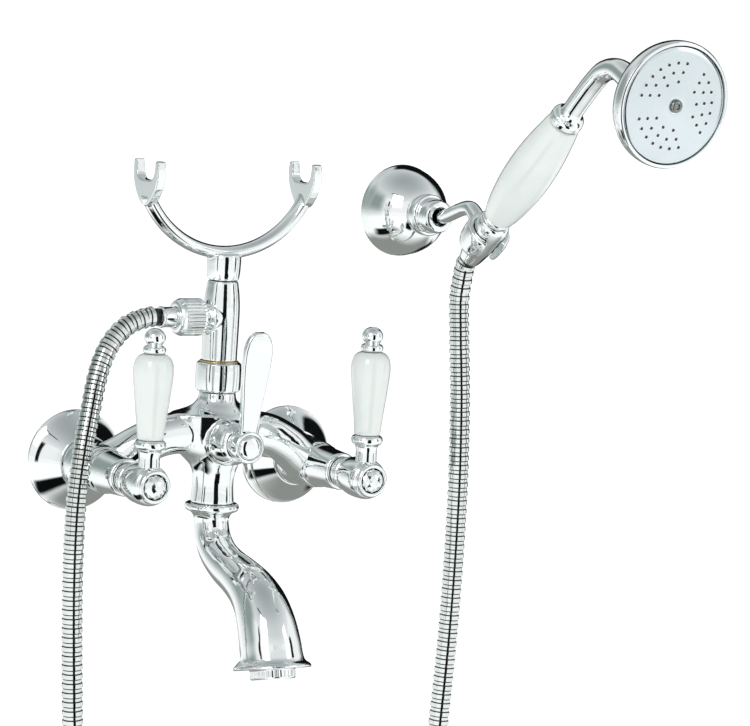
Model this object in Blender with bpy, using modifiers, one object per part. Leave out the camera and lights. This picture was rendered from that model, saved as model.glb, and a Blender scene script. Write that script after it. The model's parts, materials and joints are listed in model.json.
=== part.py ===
"""Wall-mounted bath mixer with a telephone cradle, a shower hose, a hand shower and its wall bracket.

Frame: +X to the right when facing the wall, +Y into the wall, +Z up. The origin is on the finished
wall, midway between the two water inlets. Every size below is in millimetres; the helpers that
make meshes turn them into metres.
"""
import math

import bmesh
import bpy
from mathutils import Matrix, Vector

MM = 0.001
GAP = 0.3
CUTTER_TURN = 0.093

# ---- driving dimensions -------------------------------------------------------------------------
INLET_SPACING = 150.0          # standard distance between the hot and cold wall connections
VALVE_X = INLET_SPACING / 2
ROSETTE_R = 31.5               # wall flange of each inlet
ROSETTE_DEPTH = 19.0
NECK_R = 14.6                  # valve tubes of the casting
COLUMN_Y = -46.0               # the upright's axis, out from the wall
BODY_TOP = 47.9
BODY_FOOT = -22.0
DIVERTER_Z = 18.9
BOSS_END = -66.0               # front face of the diverter boss
BONNET_BACK, BONNET_FRONT = -48.3, -76.5
SADDLE_DEPTH = 0.6                                 # the saddle between the arms, its depth to width
BONNET_ROOM = 14.9                                  # radius kept clear in front of each valve tube
STEM_Y = -104.5                # the lever stands on this line
GRIP_Z0, GRIP_Z1 = 27.6, 79.0
COLUMN_Z0, COLUMN_TOP = 58.6, 117.0
OUTLET_Z = 94.3
FORK_R = 61.0                  # cradle arc, middle of its thickness
FORK_CENTRE_Z = 195.5
YOKE_X = 54.3
HOSE_R = 6.4
BRACKET_X, BRACKET_Z = 152.2, 158.3
CLAMP = Vector((BRACKET_X, -104.0, 150.5))          # middle of the holder's ring
SLOPE = math.radians(43.0)                          # the handle's rise above the horizontal
HAND = Vector((0.0, -math.cos(SLOPE), math.sin(SLOPE)))   # along the handle, towards the head
FACE = Vector((BRACKET_X, -301.3, 245.6))           # middle of the spray face
FACE_TILT = math.radians(8.6)
FACE_OUT = Vector((0.0, -math.cos(FACE_TILT), -math.sin(FACE_TILT)))
HEAD_R = 37.6
SPOUT_TIP = Vector((0.0, -134.4, -110.0))
SPOUT_AIM = Vector((0.0, -0.22, -0.9755)).normalized()

OUT = Vector((0.0, -1.0, 0.0))                      # away from the wall
UP = Vector((0.0, 0.0, 1.0))
LEFT = Vector((-1.0, 0.0, 0.0))

# The hose's route, from the mixer's outlet to the hand shower, as points on one smooth curve.
HOSE_ROUTE = [
    (-50.0, -46.0, 94.3), (-64.0, -46.8, 90.0), (-74.5, -48.0, 81.0),
    (-82.0, -50.0, 69.5), (-87.5, -53.0, 55.5), (-92.5, -56.5, 36.0), (-98.0, -60.5, 12.0),
    (-101.5, -62.0, -20.0), (-101.8, -62.5, -60.0), (-99.8, -63.0, -113.0), (-96.0, -63.5, -173.0),
    (-88.5, -64.5, -244.0), (-75.0, -66.0, -315.0), (-51.0, -68.0, -381.0), (-11.0, -70.0, -427.0),
    (36.0, -72.0, -440.0), (82.0, -74.0, -418.0), (117.0, -76.0, -363.0), (138.5, -77.5, -292.0),
    (151.0, -79.0, -208.0), (157.0, -80.0, -113.0), (158.6, -80.0, -25.0), (156.6, -80.0, 40.0),
    (153.6, -79.0, 85.0), (152.4, -78.4, 108.0), (152.2, -81.0, 122.5), (152.2, -83.8, 131.7),
]
HOSE_STEP = 17.0               # distance between the tube's points


# ---- helpers --------------------------------------------------------------------------------------
def collection(name):
    """A new collection in the scene."""
    made = bpy.data.collections.new(name)
    bpy.context.scene.collection.children.link(made)
    return made


def finish(name, colour, roughness, metallic, transmission=0.0):
    """A plain Principled material."""
    made = bpy.data.materials.new(name)
    made.use_nodes = True
    shader = made.node_tree.nodes["Principled BSDF"]
    shader.inputs["Base Color"].default_value = (*colour, 1.0)
    shader.inputs["Roughness"].default_value = roughness
    shader.inputs["Metallic"].default_value = metallic
    shader.inputs["Transmission Weight"].default_value = transmission
    made.diffuse_color = (*colour, 1.0)
    return made


def add(name, data, look, at=(0, 0, 0), along=UP, roll=0.0):
    """Put mesh or curve data in the part, its local +Z turned to point along a direction."""
    made = bpy.data.objects.new(name, data)
    PARTS.objects.link(made)
    turn = UP.rotation_difference(Vector(along).normalized()).to_matrix().to_4x4()
    made.matrix_world = Matrix.Translation(Vector(at) * MM) @ turn @ Matrix.Rotation(roll, 4, "Z")
    if look is not None:
        data.materials.append(look)
    return made


def turned(name, profile, look, at=(0, 0, 0), along=UP, steps=16, roll=0.0):
    """A lathe-turned piece. profile runs down the outer side as (radius, height along the axis).

    A profile that starts and ends on the axis is solid; any other is closed into a ring.
    """
    mesh = bpy.data.meshes.new(name)
    points = [(radius * MM, 0.0, height * MM) for radius, height in profile]
    edges = [(i, i + 1) for i in range(len(points) - 1)]
    if profile[0][0] > 0 or profile[-1][0] > 0:
        edges.append((len(points) - 1, 0))
    mesh.from_pydata(points, edges, [])
    made = add(name, mesh, look, at, along, roll)
    screw = made.modifiers.new("turn", "SCREW")
    screw.steps = screw.render_steps = steps
    screw.use_merge_vertices = True
    screw.merge_threshold = 0.000001
    screw.use_smooth_shade = True
    return made


def rod(name, radius, low, high, look, at=(0, 0, 0), along=UP, steps=16):
    """A plain cylinder between two heights along its axis."""
    return turned(name, [(0, high), (radius, high), (radius, low), (0, low)], look, at, along, steps)


def bore(name, profile, at, along=UP, steps=16):
    """A turned cutter, given a small turn so that its edges miss those of the piece it cuts."""
    return turned(name, profile, None, at, along, steps, CUTTER_TURN)


def drill(name, radius, low, high, at, along=UP, steps=16):
    """A plain round cutter between two heights along its axis."""
    return bore(name, [(0, high), (radius, high), (radius, low), (0, low)], at, along, steps)


def tube(name, outer, inner, low, high, look, at=(0, 0, 0), along=UP, steps=16):
    """A plain ring between two heights along its axis."""
    profile = [(outer, high), (outer, low), (inner, low), (inner, high)]
    return turned(name, profile, look, at, along, steps)


def slab(name, size, look, at, along=UP, roll=0.0, bevel=0.0):
    """A box of the given size, its edges rounded when bevel is given."""
    mesh = bpy.data.meshes.new(name)
    shape = bmesh.new()
    bmesh.ops.create_cube(shape, size=1.0)
    bmesh.ops.scale(shape, vec=Vector(size) * MM, verts=shape.verts)
    shape.to_mesh(mesh)
    shape.free()
    made = add(name, mesh, look, at, along, roll)
    if bevel:
        edge = made.modifiers.new("edges", "BEVEL")
        edge.width = bevel * MM
        edge.segments = 2
    return made


def smooth_path(points, step):
    """Evenly spaced points on a Catmull-Rom curve through the given ones."""
    knots = [Vector(p) for p in points]
    knots = [knots[0] * 2 - knots[1]] + knots + [knots[-1] * 2 - knots[-2]]
    fine = []
    for before, start, end, after in zip(knots, knots[1:], knots[2:], knots[3:]):
        for k in range(20):
            t = k / 20
            fine.append(0.5 * (2 * start + (end - before) * t
                               + (2 * before - 5 * start + 4 * end - after) * t ** 2
                               + (3 * start - before - 3 * end + after) * t ** 3))
    fine.append(knots[-2])
    lengths = [0.0]
    for one, two in zip(fine, fine[1:]):
        lengths.append(lengths[-1] + (two - one).length)
    count = max(2, round(lengths[-1] / step))
    spaced, k = [], 0
    for index in range(count + 1):
        target = lengths[-1] * index / count
        while k < len(lengths) - 2 and lengths[k + 1] < target:
            k += 1
        part = (target - lengths[k]) / max(lengths[k + 1] - lengths[k], 1e-9)
        spaced.append(fine[k].lerp(fine[k + 1], min(max(part, 0.0), 1.0)))
    return spaced


def pipe(name, points, radii, look, sides=14, flat=(1.0, 1.0, 1.0), centre=(0, 0, 0)):
    """A tube along points, given in the row's frame, whose radius may change from point to point.

    flat stretches it about centre, which turns its round section oval.
    """
    curve = bpy.data.curves.new(name, "CURVE")
    curve.dimensions = "3D"
    curve.bevel_depth = MM
    curve.bevel_resolution = (sides - 4) // 2
    curve.use_fill_caps = True
    spline = curve.splines.new("POLY")
    spline.points.add(len(points) - 1)
    for knot, place, radius in zip(spline.points, points, radii):
        shift = Vector(place) - Vector(centre)
        local = Vector([shift[k] / flat[k] for k in range(3)]) * MM
        knot.co = (*local, 1.0)
        knot.radius = radius
    made = bpy.data.objects.new(name, curve)
    PARTS.objects.link(made)
    made.location = Vector(centre) * MM
    made.scale = flat
    if look is not None:
        curve.materials.append(look)
    return made


def as_mesh(made):
    """The same piece as a mesh, its end caps welded on, so that a Boolean can use it."""
    bpy.context.view_layer.update()
    graph = bpy.context.evaluated_depsgraph_get()
    mesh = bpy.data.meshes.new_from_object(made.evaluated_get(graph))
    weld = bmesh.new()
    weld.from_mesh(mesh)
    bmesh.ops.remove_doubles(weld, verts=weld.verts, dist=0.000002)
    weld.to_mesh(mesh)
    weld.free()
    name = made.name
    place = made.matrix_world.copy()
    bpy.data.objects.remove(made)
    solid = bpy.data.objects.new(name, mesh)
    PARTS.objects.link(solid)
    solid.matrix_world = place
    return solid


def boolean(target, tool, operation):
    """Cut or join with a helper solid, which is kept out of the part."""
    PARTS.objects.unlink(tool)
    CUTTERS.objects.link(tool)
    tool.hide_render = True
    tool.display_type = "WIRE"
    change = target.modifiers.new(tool.name, "BOOLEAN")
    change.operation = operation
    change.solver = "EXACT"
    change.object = tool
    return target


def cut(target, *tools):
    for tool in tools:
        boolean(target, tool, "DIFFERENCE")
    return target


def join(target, *tools):
    for tool in tools:
        boolean(target, tool, "UNION")
    return target


def pivot(name, at, pieces):
    """An empty on a joint's axis that carries the pieces which turn or slide about it."""
    empty = bpy.data.objects.new(name, None)
    PARTS.objects.link(empty)
    empty.location = Vector(at) * MM
    bpy.context.view_layer.update()
    for piece in pieces:
        piece.parent = empty
        piece.matrix_parent_inverse = empty.matrix_world.inverted()


# ---- the casting and its wall connections -------------------------------------------------------
def valve_tube(side):
    """The straight tube from the wall connection to the valve, open at both ends."""
    profile = [(0, -BONNET_BACK + 2), (NECK_R - 0.7, -BONNET_BACK + 2), (NECK_R, 46.8),
               (NECK_R, 36), (15.2, 30), (16.4, 25), (16.6, 20.5), (15.8, 19.4), (12.8, 19.2),
               (12.8, 11.8), (0, 11.8)]
    return turned("valve_tube", profile, None, (side * VALVE_X, 0, 0), OUT)


def mixer_body():
    """One brass casting: upright, two swept arms, two valve tubes and the diverter boss."""
    upright = [(0, BODY_TOP + 10), (10.3, BODY_TOP + 10), (10.3, BODY_TOP), (11.5, BODY_TOP),
               (11.5, 45.0), (12.6, 42.2), (15.5, 38.4), (18.4, 33.5), (19.4, 24.0), (18.2, 12.0),
               (15.6, 3.0), (13.4, -4.0), (12.9, -10.0), (13.2, -16.0), (13.7, BODY_FOOT), (0, BODY_FOOT)]
    body = turned("mixer_body", upright, CHROME, (0, COLUMN_Y, 0), UP, 20)
    saddle = bore("saddle", [(0, 44.0), (12.2, 43.6), (14.5, 41.2), (18.5, 38.6), (24.0, 36.6), (31.0, 34.6),
                             (31.0, 20.0), (27.0, 12.0), (21.5, 7.0), (16.5, 2.0), (13.6, -3.0),
                             (12.2, -8.0), (0, -8.0)], (0, COLUMN_Y, 0))
    saddle.scale = (1.0, SADDLE_DEPTH, 1.0)
    bpy.context.view_layer.update()
    join(body, saddle)
    for side in (-1, 1):
        sweep = [(0, COLUMN_Y, 22.6), (side * 20, COLUMN_Y, 22.6), (side * 37, COLUMN_Y + 0.5, 20.6),
                 (side * 51, COLUMN_Y + 3, 14.2), (side * 62, COLUMN_Y + 7, 6.6),
                 (side * 70, COLUMN_Y + 10.5, 1.6), (side * (VALVE_X + 1), COLUMN_Y + 12, -0.6)]
        path = smooth_path(sweep, 8.0)
        radii = [14.4 - 1.6 * math.sin(min(abs(p.x), 80) / 80 * math.pi) for p in path]
        arm = as_mesh(pipe("arm", path, radii, None, 16))
        join(body, arm, valve_tube(side))
    join(body, rod("diverter_boss", 14.6, 20, -BOSS_END, None, (0, 0, DIVERTER_Z), OUT))
    for side in (-1, 1):
        centre = (side * VALVE_X, 0, 0)
        passage = smooth_path([(side * 4, COLUMN_Y, 21.0), (side * 36, COLUMN_Y, 20.0),
                               (side * 55, COLUMN_Y + 4, 11.0), (side * 71, COLUMN_Y + 6.5, 1.0)], 12.0)
        channel = as_mesh(pipe("channel", passage, [5.0] * len(passage), None, 10))
        valve_bore = bore("valve_bore", [(0, 90), (BONNET_ROOM, 90), (BONNET_ROOM, -BONNET_BACK - GAP),
                                         (9.3, -BONNET_BACK - GAP), (9.3, 35), (6.0, 34), (6.0, 5), (0, 5)],
                          centre, OUT)
        cut(body, valve_bore, channel)
    cut(body, bore("upright_bore", [(0, BODY_TOP + 15), (7.5, BODY_TOP + 15), (7.5, BODY_FOOT + 9.6),
                                    (10.0, BODY_FOOT + 9), (10.0, BODY_FOOT - 5), (0, BODY_FOOT - 5)],
                   (0, COLUMN_Y, 0)),
        drill("diverter_chamber", 9.3, 40, 75, (0, 0, DIVERTER_Z), OUT))
    return body


def wall_connection(name, side):
    """Rosette, wall union, union nut and washer of one inlet."""
    centre = (side * VALVE_X, 0, 0)
    turned(name + "_rosette", [(17.4, ROSETTE_DEPTH), (ROSETTE_R, 1.6), (ROSETTE_R, 0), (30.2, 0),
                               (30.2, 1.0), (16.3, ROSETTE_DEPTH)], CHROME, centre, OUT, 24)
    turned(name + "_union", [(10.0, 9.4), (10.0, 9.0), (12.6, 9.0), (12.6, 5.9), (10.4, 5.9),
                             (10.4, -15.0), (6.0, -15.0), (6.0, 9.4)], BRASS, centre, OUT, 16)
    nut = turned(name + "_union_nut", [(0, 17.5), (15.9, 17.5), (15.9, 3.0), (0, 3.0)], CHROME,
                 centre, OUT, 6)
    cut(nut, bore("nut_bore", [(0, 20), (13.1, 20), (13.1, 5.5), (10.8, 5.5), (10.8, 0), (0, 0)],
                  centre, OUT))
    tube(name + "_union_washer", 12.4, 6.8, 9.7, 11.5, RUBBER, centre, OUT, 16)


# ---- the two valves and their levers ----------------------------------------------------------------
def valve(name, side):
    """Bonnet, cartridge and the lever assembly that turns on the valve's axis."""
    axis = (side * VALVE_X, 0, 0)
    stand = (side * VALVE_X, STEM_Y, 0)
    turned(name + "_bonnet", [(10.4, -BONNET_FRONT), (11.6, 75.4), (11.9, 73.0), (12.4, 63.0),
                              (13.2, 53.0), (13.9, 51.4), (13.9, -BONNET_BACK), (9.3, -BONNET_BACK),
                              (9.3, -BONNET_FRONT)], CHROME, axis, OUT)
    turned(name + "_cartridge", [(8.2, 75.8), (8.9, 74.9), (8.9, 35.4), (3.0, 35.4), (3.0, 37.6),
                                 (8.0, 37.6), (8.0, 44.0), (4.1, 44.0), (4.1, 75.8)], BRASS, axis, OUT, 16)
    spindle = turned(name + "_spindle", [(0, 99.6), (3.7, 99.6), (3.7, 43.6), (7.6, 43.6),
                                         (7.6, 38.0), (0, 38.0)], BRASS, axis, OUT, 16)
    cut(spindle, drill("screw_hole", 1.7, 90, 105, axis, OUT, 12))
    hub = turned(name + "_hub", [(9.5, 114.5), (10.2, 113.9), (10.3, 111.8), (11.6, 110.2),
                                 (12.6, 106.5), (12.7, 101.0), (12.5, 95.0), (11.6, 89.5), (10.2, 86.2),
                                 (10.6, 84.6), (10.6, 82.8), (9.4, 81.6), (9.5, 78.0), (4.1, 78.0),
                                 (4.1, 100.2), (2.3, 100.2), (2.3, 106.8), (7.9, 106.8),
                                 (7.9, 114.5)], CHROME, axis, OUT)
    cut(hub, drill("stem_seat", 6.9, 10.6, 20, stand))
    screw = turned(name + "_handle_screw", [(0, 109.3), (4.0, 109.0), (4.0, 107.1), (1.4, 107.1),
                                            (1.4, 93.0), (0, 93.0)], STEEL, axis, OUT, 12)
    crystal = turned(name + "_crystal", [(0, 117.6), (3.4, 117.1), (5.9, 115.7), (7.4, 113.4),
                                         (7.5, 110.0), (0, 110.0)], CRYSTAL, axis, OUT, 12)
    stem = turned(name + "_lever_stem", [(0, 81.6), (2.3, 81.6), (2.3, 27.2), (8.6, 27.2), (9.5, 26.0),
                                         (9.7, 24.4), (9.2, 22.0), (7.2, 20.9), (6.5, 20.0),
                                         (6.5, 10.9), (0, 10.9)], CHROME, stand)
    grip = turned(name + "_grip", [(6.6, GRIP_Z1), (8.4, 78.2), (10.8, 75.6), (12.1, 71.0),
                                   (11.9, 66.0), (10.9, 56.0), (9.5, 44.0), (8.4, 34.0),
                                   (8.0, GRIP_Z0), (2.7, GRIP_Z0), (2.7, GRIP_Z1)], PORCELAIN, stand)
    finial = turned(name + "_finial", [(0, 94.6), (2.9, 94.0), (5.2, 92.2), (6.4, 89.4), (6.2, 86.6),
                                       (4.8, 84.6), (6.3, 83.4), (6.9, 82.0), (6.9, 80.6), (6.1, 79.3),
                                       (2.7, 79.3), (2.7, 82.2), (0, 82.2)], CHROME, stand)
    pivot(name + "_valve_axis", stand, [spindle, hub, screw, crystal, stem, grip, finial])


# ---- the diverter -------------------------------------------------------------------------------
def diverter():
    """Domed cover, cartridge and the flat lever that leans out from the wall."""
    axis = (0, 0, DIVERTER_Z)
    turned("diverter_dome", [(8.6, 79.4), (10.4, 78.6), (12.4, 76.0), (13.7, 72.0), (14.3, 68.0),
                             (14.4, 66.3), (4.2, 66.3), (4.2, 79.4)], CHROME, axis, OUT)
    tube("diverter_cartridge", 8.9, 4.1, 44.5, 66.0, BRASS, axis, OUT, 16)
    spindle = turned("diverter_spindle", [(0, 84.6), (3.7, 84.6), (3.7, 44.2), (8.4, 44.2), (8.4, 40.6),
                                          (0, 40.6)], BRASS, axis, OUT, 16)
    cut(spindle, drill("screw_hole", 1.7, 76, 90, axis, OUT, 12))
    lever = turned("diverter_lever", [(0, 92.4), (9.4, 92.4), (10.0, 91.6), (10.0, 83.6), (8.6, 80.2),
                                      (0, 80.2)], CHROME, axis, OUT)
    lean = math.radians(9.0)
    right = [(5.4, 0.0), (5.6, 9.0), (6.4, 18.0), (7.8, 32.0), (9.1, 46.0), (9.7, 56.0), (9.5, 62.0),
             (8.2, 67.5), (5.6, 71.3), (2.2, 73.0)]
    outline = right + [(-x, z) for x, z in reversed(right)]
    blade = flat_outline("blade", outline, 4.4, (0, -86.3, DIVERTER_Z), lean)
    join(lever, blade)
    cut(lever, bore("lever_bore", [(0, 100), (7.9, 100), (7.9, 87.6), (2.3, 87.6), (2.3, 85.0),
                                   (4.1, 85.0), (4.1, 75), (0, 75)], axis, OUT, 16))
    screw = turned("diverter_screw", [(0, 90.0), (4.0, 89.7), (4.0, 87.9), (1.4, 87.9), (1.4, 79.0),
                                      (0, 79.0)], STEEL, axis, OUT, 12)
    cap = turned("diverter_cap", [(0, 94.6), (5.0, 94.2), (7.0, 93.3), (7.6, 92.2), (7.6, 90.4),
                                  (0, 90.4)], CHROME, axis, OUT)
    pivot("diverter_axis", axis, [spindle, lever, screw, cap])


def flat_outline(name, outline, thickness, at, lean):
    """A flat plate from an outline in its own X-Z plane, leaning out from the wall."""
    curve = bpy.data.curves.new(name, "CURVE")
    curve.dimensions = "2D"
    curve.fill_mode = "BOTH"
    curve.extrude = thickness / 2 * MM
    spline = curve.splines.new("POLY")
    spline.points.add(len(outline) - 1)
    for knot, (across, up) in zip(spline.points, outline):
        knot.co = (across * MM, up * MM, 0.0, 1.0)
    spline.use_cyclic_u = True
    made = bpy.data.objects.new(name, curve)
    PARTS.objects.link(made)
    turn = Matrix.Rotation(math.radians(90) + lean, 4, "X")
    made.matrix_world = Matrix.Translation(Vector(at) * MM) @ turn
    return as_mesh(made)


# ---- the upright column and the cradle ----------------------------------------------------------
def column():
    """Collar nut, bearing ring and the hollow column with the hose outlet on its left."""
    axis = (0, COLUMN_Y, 0)
    turned("collar_nut", [(13.0, 66.2), (13.9, 65.4), (13.9, 49.2), (13.0, 48.2), (10.8, 48.2),
                          (10.8, 66.2)], CHROME, axis, UP, 20)
    tube("column_ring", 12.2, 10.75, 66.45, 67.25, BRASS, axis, UP, 20)
    stem = turned("riser_column", [(0, COLUMN_TOP), (9.2, COLUMN_TOP), (9.8, 113.5), (10.8, 107.0),
                                   (11.3, 100.0), (11.3, 92.0), (11.1, 80.0), (11.1, 67.5), (10.4, 67.4),
                                   (10.4, COLUMN_Z0), (0, COLUMN_Z0)], CHROME, axis, UP, 20)
    outlet = (0, COLUMN_Y, OUTLET_Z)
    join(stem, turned("outlet_boss", [(0, 23.0), (8.3, 23.0), (8.3, 15.2), (7.0, 15.0), (7.0, 12.6),
                                      (8.0, 11.0), (9.8, 9.0), (9.8, 5.0), (0, 5.0)],
                      None, outlet, LEFT))
    cut(stem, drill("column_bore", 6.5, COLUMN_Z0 - 5, 101, axis, UP, 16),
        drill("outlet_bore", 4.5, 0, 30, outlet, LEFT, 16))
    turned("hose_nut", [(9.6, 32.4), (11.7, 28.8), (11.7, 15.2), (11.0, 14.4), (8.7, 14.4), (8.7, 28.0),
                        (6.6, 28.0), (6.6, 32.4)], CHROME, outlet, LEFT, 20)
    tube("hose_washer", 8.2, 4.6, 23.3, 25.1, RUBBER, outlet, LEFT, 16)
    turned("outlet_ferrule", [(6.3, 43.1), (6.3, 27.6), (8.3, 27.6), (8.3, 25.5), (4.2, 25.5),
                              (4.2, 43.1)], CHROME, outlet, LEFT)


def yoke(side):
    """One U-shaped end of the cradle, open upwards, that a hand shower's handle rests in."""
    half = [(16.4, 190.5), (12.2, 191.0), (11.8, 183.5), (10.2, 180.0), (7.0, 178.6)]
    below = [(6.0, 163.5), (11.0, 168.5), (15.2, 176.0), (16.6, 183.0)]
    outline = half + [(-y, z) for y, z in reversed(half)]
    outline += [(-y, z) for y, z in reversed(below)] + below
    made = flat_outline("yoke", [(y, z - 180.0) for y, z in outline], 6.0,
                        (side * YOKE_X, COLUMN_Y, 180.0), 0.0)
    made.matrix_world = (Matrix.Translation((side * YOKE_X * MM, COLUMN_Y * MM, 0.18))
                         @ Matrix.Rotation(math.radians(90), 4, "Z")
                         @ Matrix.Rotation(math.radians(90), 4, "X"))
    return made


def cradle():
    """The fork that turns on the column's top: neck, semicircular arms and two yokes."""
    axis = (0, COLUMN_Y, 0)
    fork = turned("cradle_fork", [(0, 134.5), (10.4, 134.5), (10.6, 128.0), (10.5, 121.0),
                                  (9.3, COLUMN_TOP + GAP), (0, COLUMN_TOP + GAP)], CHROME, axis, UP, 20)
    reach = math.radians(64)
    count = 16
    angles = [reach * (2 * k / count - 1) for k in range(count + 1)]
    arc = [(FORK_R * math.sin(a), COLUMN_Y, FORK_CENTRE_Z - FORK_R * math.cos(a)) for a in angles]
    arms = as_mesh(pipe("arms", arc, [4.1] * len(arc), None, 16, (1.0, 1.45, 1.0), axis))
    join(fork, arms, yoke(-1), yoke(1))
    pivot("cradle_axis", axis, [fork])


# ---- the spout ------------------------------------------------------------------------------------
def spout():
    """Swan spout that turns under the body, with its seal, and the aerator in its bell mouth."""
    flange = turned("spout", [(0, -13.6), (9.6, -13.6), (9.6, -22.3), (16.2, -22.3), (17.0, -23.2),
                              (17.0, -25.4), (15.8, -27.0), (12.6, -28.6), (10.8, -32.0), (0, -32.0)],
                    CHROME, (0, COLUMN_Y, 0), UP, 20)
    swan = [(-46.0, -29.0), (-46.8, -36.0), (-50.0, -44.5), (-58.5, -52.3), (-72.0, -58.0),
            (-88.0, -62.0), (-103.0, -67.0), (-115.5, -74.5), (-124.0, -84.5), (-129.6, -95.0)]
    girth = [10.7, 10.8, 11.3, 11.7, 12.5, 13.5, 14.9, 16.5, 17.9, 18.8]
    tip = SPOUT_TIP
    path = [Vector((0, y, z)) for y, z in swan] + [tip - SPOUT_AIM * 7.0, tip - SPOUT_AIM * 4.5,
                                                   tip - SPOUT_AIM * 2.2, tip]
    radii = girth + [19.2, 20.6, 23.0, 23.4]
    horn = as_mesh(pipe("horn", path, radii, None, 20))
    join(flange, horn)
    inner_path = [Vector((0, -46.0, -8.0)), Vector((0, -46.0, -28.0))] + path[1:-1]
    inner_radii = [7.0, 7.0] + [radius - 3.5 for radius in girth[1:]] + [14.6, 14.6, 14.6]
    waterway = as_mesh(pipe("waterway", inner_path, inner_radii, None, 14))
    cut(flange, waterway, drill("mouth", 14.6, -12.0, 8.0, tip, SPOUT_AIM, 28))
    housing = turned("aerator_housing", [(13.6, 6.2), (14.2, 5.4), (14.2, -7.0), (11.4, -7.0),
                                         (11.4, 6.2)], CHROME, tip, SPOUT_AIM, 28)
    insert = turned("aerator_insert", [(0, 4.6), (11.0, 4.6), (11.0, -5.0), (0, -5.0)], PLASTIC, tip,
                    SPOUT_AIM)
    pivot("spout_axis", (0, COLUMN_Y, -22), [flange, housing, insert])


# ---- the wall bracket ---------------------------------------------------------------------------
def wall_bracket():
    """Bell rosette, wall plate with two screws, socket collar and the arm with the holder ring."""
    centre = (BRACKET_X, 0, BRACKET_Z)
    turned("bracket_rosette", [(13.0, 30.0), (17.6, 26.6), (22.8, 21.2), (26.8, 13.5), (29.0, 5.0),
                               (29.7, 0), (28.2, 0), (27.4, 4.8), (25.3, 12.8), (21.5, 20.0),
                               (16.6, 25.2), (10.0, 28.4), (10.0, 30.0)], CHROME, centre, OUT, 24)
    plate = turned("bracket_plate", [(0, 34.6), (8.4, 34.6), (8.4, 5.0), (22.0, 4.0), (22.0, 0),
                                     (0, 0)], STEEL, centre, OUT)
    for name, side in (("left", -1), ("right", 1)):
        place = (BRACKET_X + side * 15.0, 0, BRACKET_Z)
        cut(plate, drill("plate_hole", 2.6, -3, 10, place, OUT, 12))
        turned("bracket_screw_" + name, [(0, 8.0), (3.0, 7.6), (4.4, 5.4), (4.4, 4.9), (2.1, 4.9),
                                         (2.1, -20.0), (0, -25.0)], STEEL, place, OUT, 12)
    turned("bracket_collar", [(8.2, 50.4), (9.8, 49.8), (10.8, 47.0), (11.0, 39.2), (12.9, 38.4),
                              (13.3, 37.0), (13.3, 31.4), (12.6, 30.3), (8.8, 30.3), (8.8, 35.2),
                              (7.1, 36.0), (7.1, 46.8), (6.2, 50.4)], CHROME, centre, OUT, 24)
    ball = Vector((BRACKET_X, -42.0, BRACKET_Z))
    arm = turned("holder_arm", [(14.0, 8.0), (14.4, 6.5), (14.4, -3.0), (13.4, -8.6), (12.6, -9.4),
                                (9.6, -9.4), (9.7, -8.0), (10.9, 8.0)], CHROME, CLAMP, HAND, 20)
    reach = [ball, Vector((BRACKET_X, -53.0, 158.8)), Vector((BRACKET_X, -62.0, 161.2)),
             Vector((BRACKET_X, -72.0, 164.6)), Vector((BRACKET_X, -80.5, 166.8)), Vector((BRACKET_X, -87.0, 166.8)),
             Vector((BRACKET_X, -92.4, 163.6)), Vector((BRACKET_X, -95.0, 160.0))]
    strut = as_mesh(pipe("strut", reach, [4.4, 4.4, 4.4, 4.4, 4.6, 5.0, 5.2, 4.0], None))
    knob = turned("knob", [(0, 6.6)] + [(6.6 * math.sin(a), 6.6 * math.cos(a))
                                        for a in (math.pi * k / 8 for k in range(1, 8))] + [(0, -6.6)],
                  None, ball, UP, 16)
    join(arm, strut, knob)
    hollow = bore("ring_bore", [(0, 30.0), (12.7, 30.0), (9.7, -8.0), (9.6, -20.0), (0, -20.0)],
                  CLAMP, HAND, 20)
    across = Vector((1.0, 0.0, 0.0))
    slot_way = across.cross(HAND)
    slot = slab("slot", (24.0, 12.0, 40.0), None, CLAMP)
    turn = Matrix((slot_way, HAND.cross(slot_way), HAND)).transposed().to_4x4()
    slot.matrix_world = Matrix.Translation((CLAMP + slot_way * 15.0) * MM) @ turn
    cut(arm, hollow, slot)


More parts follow.
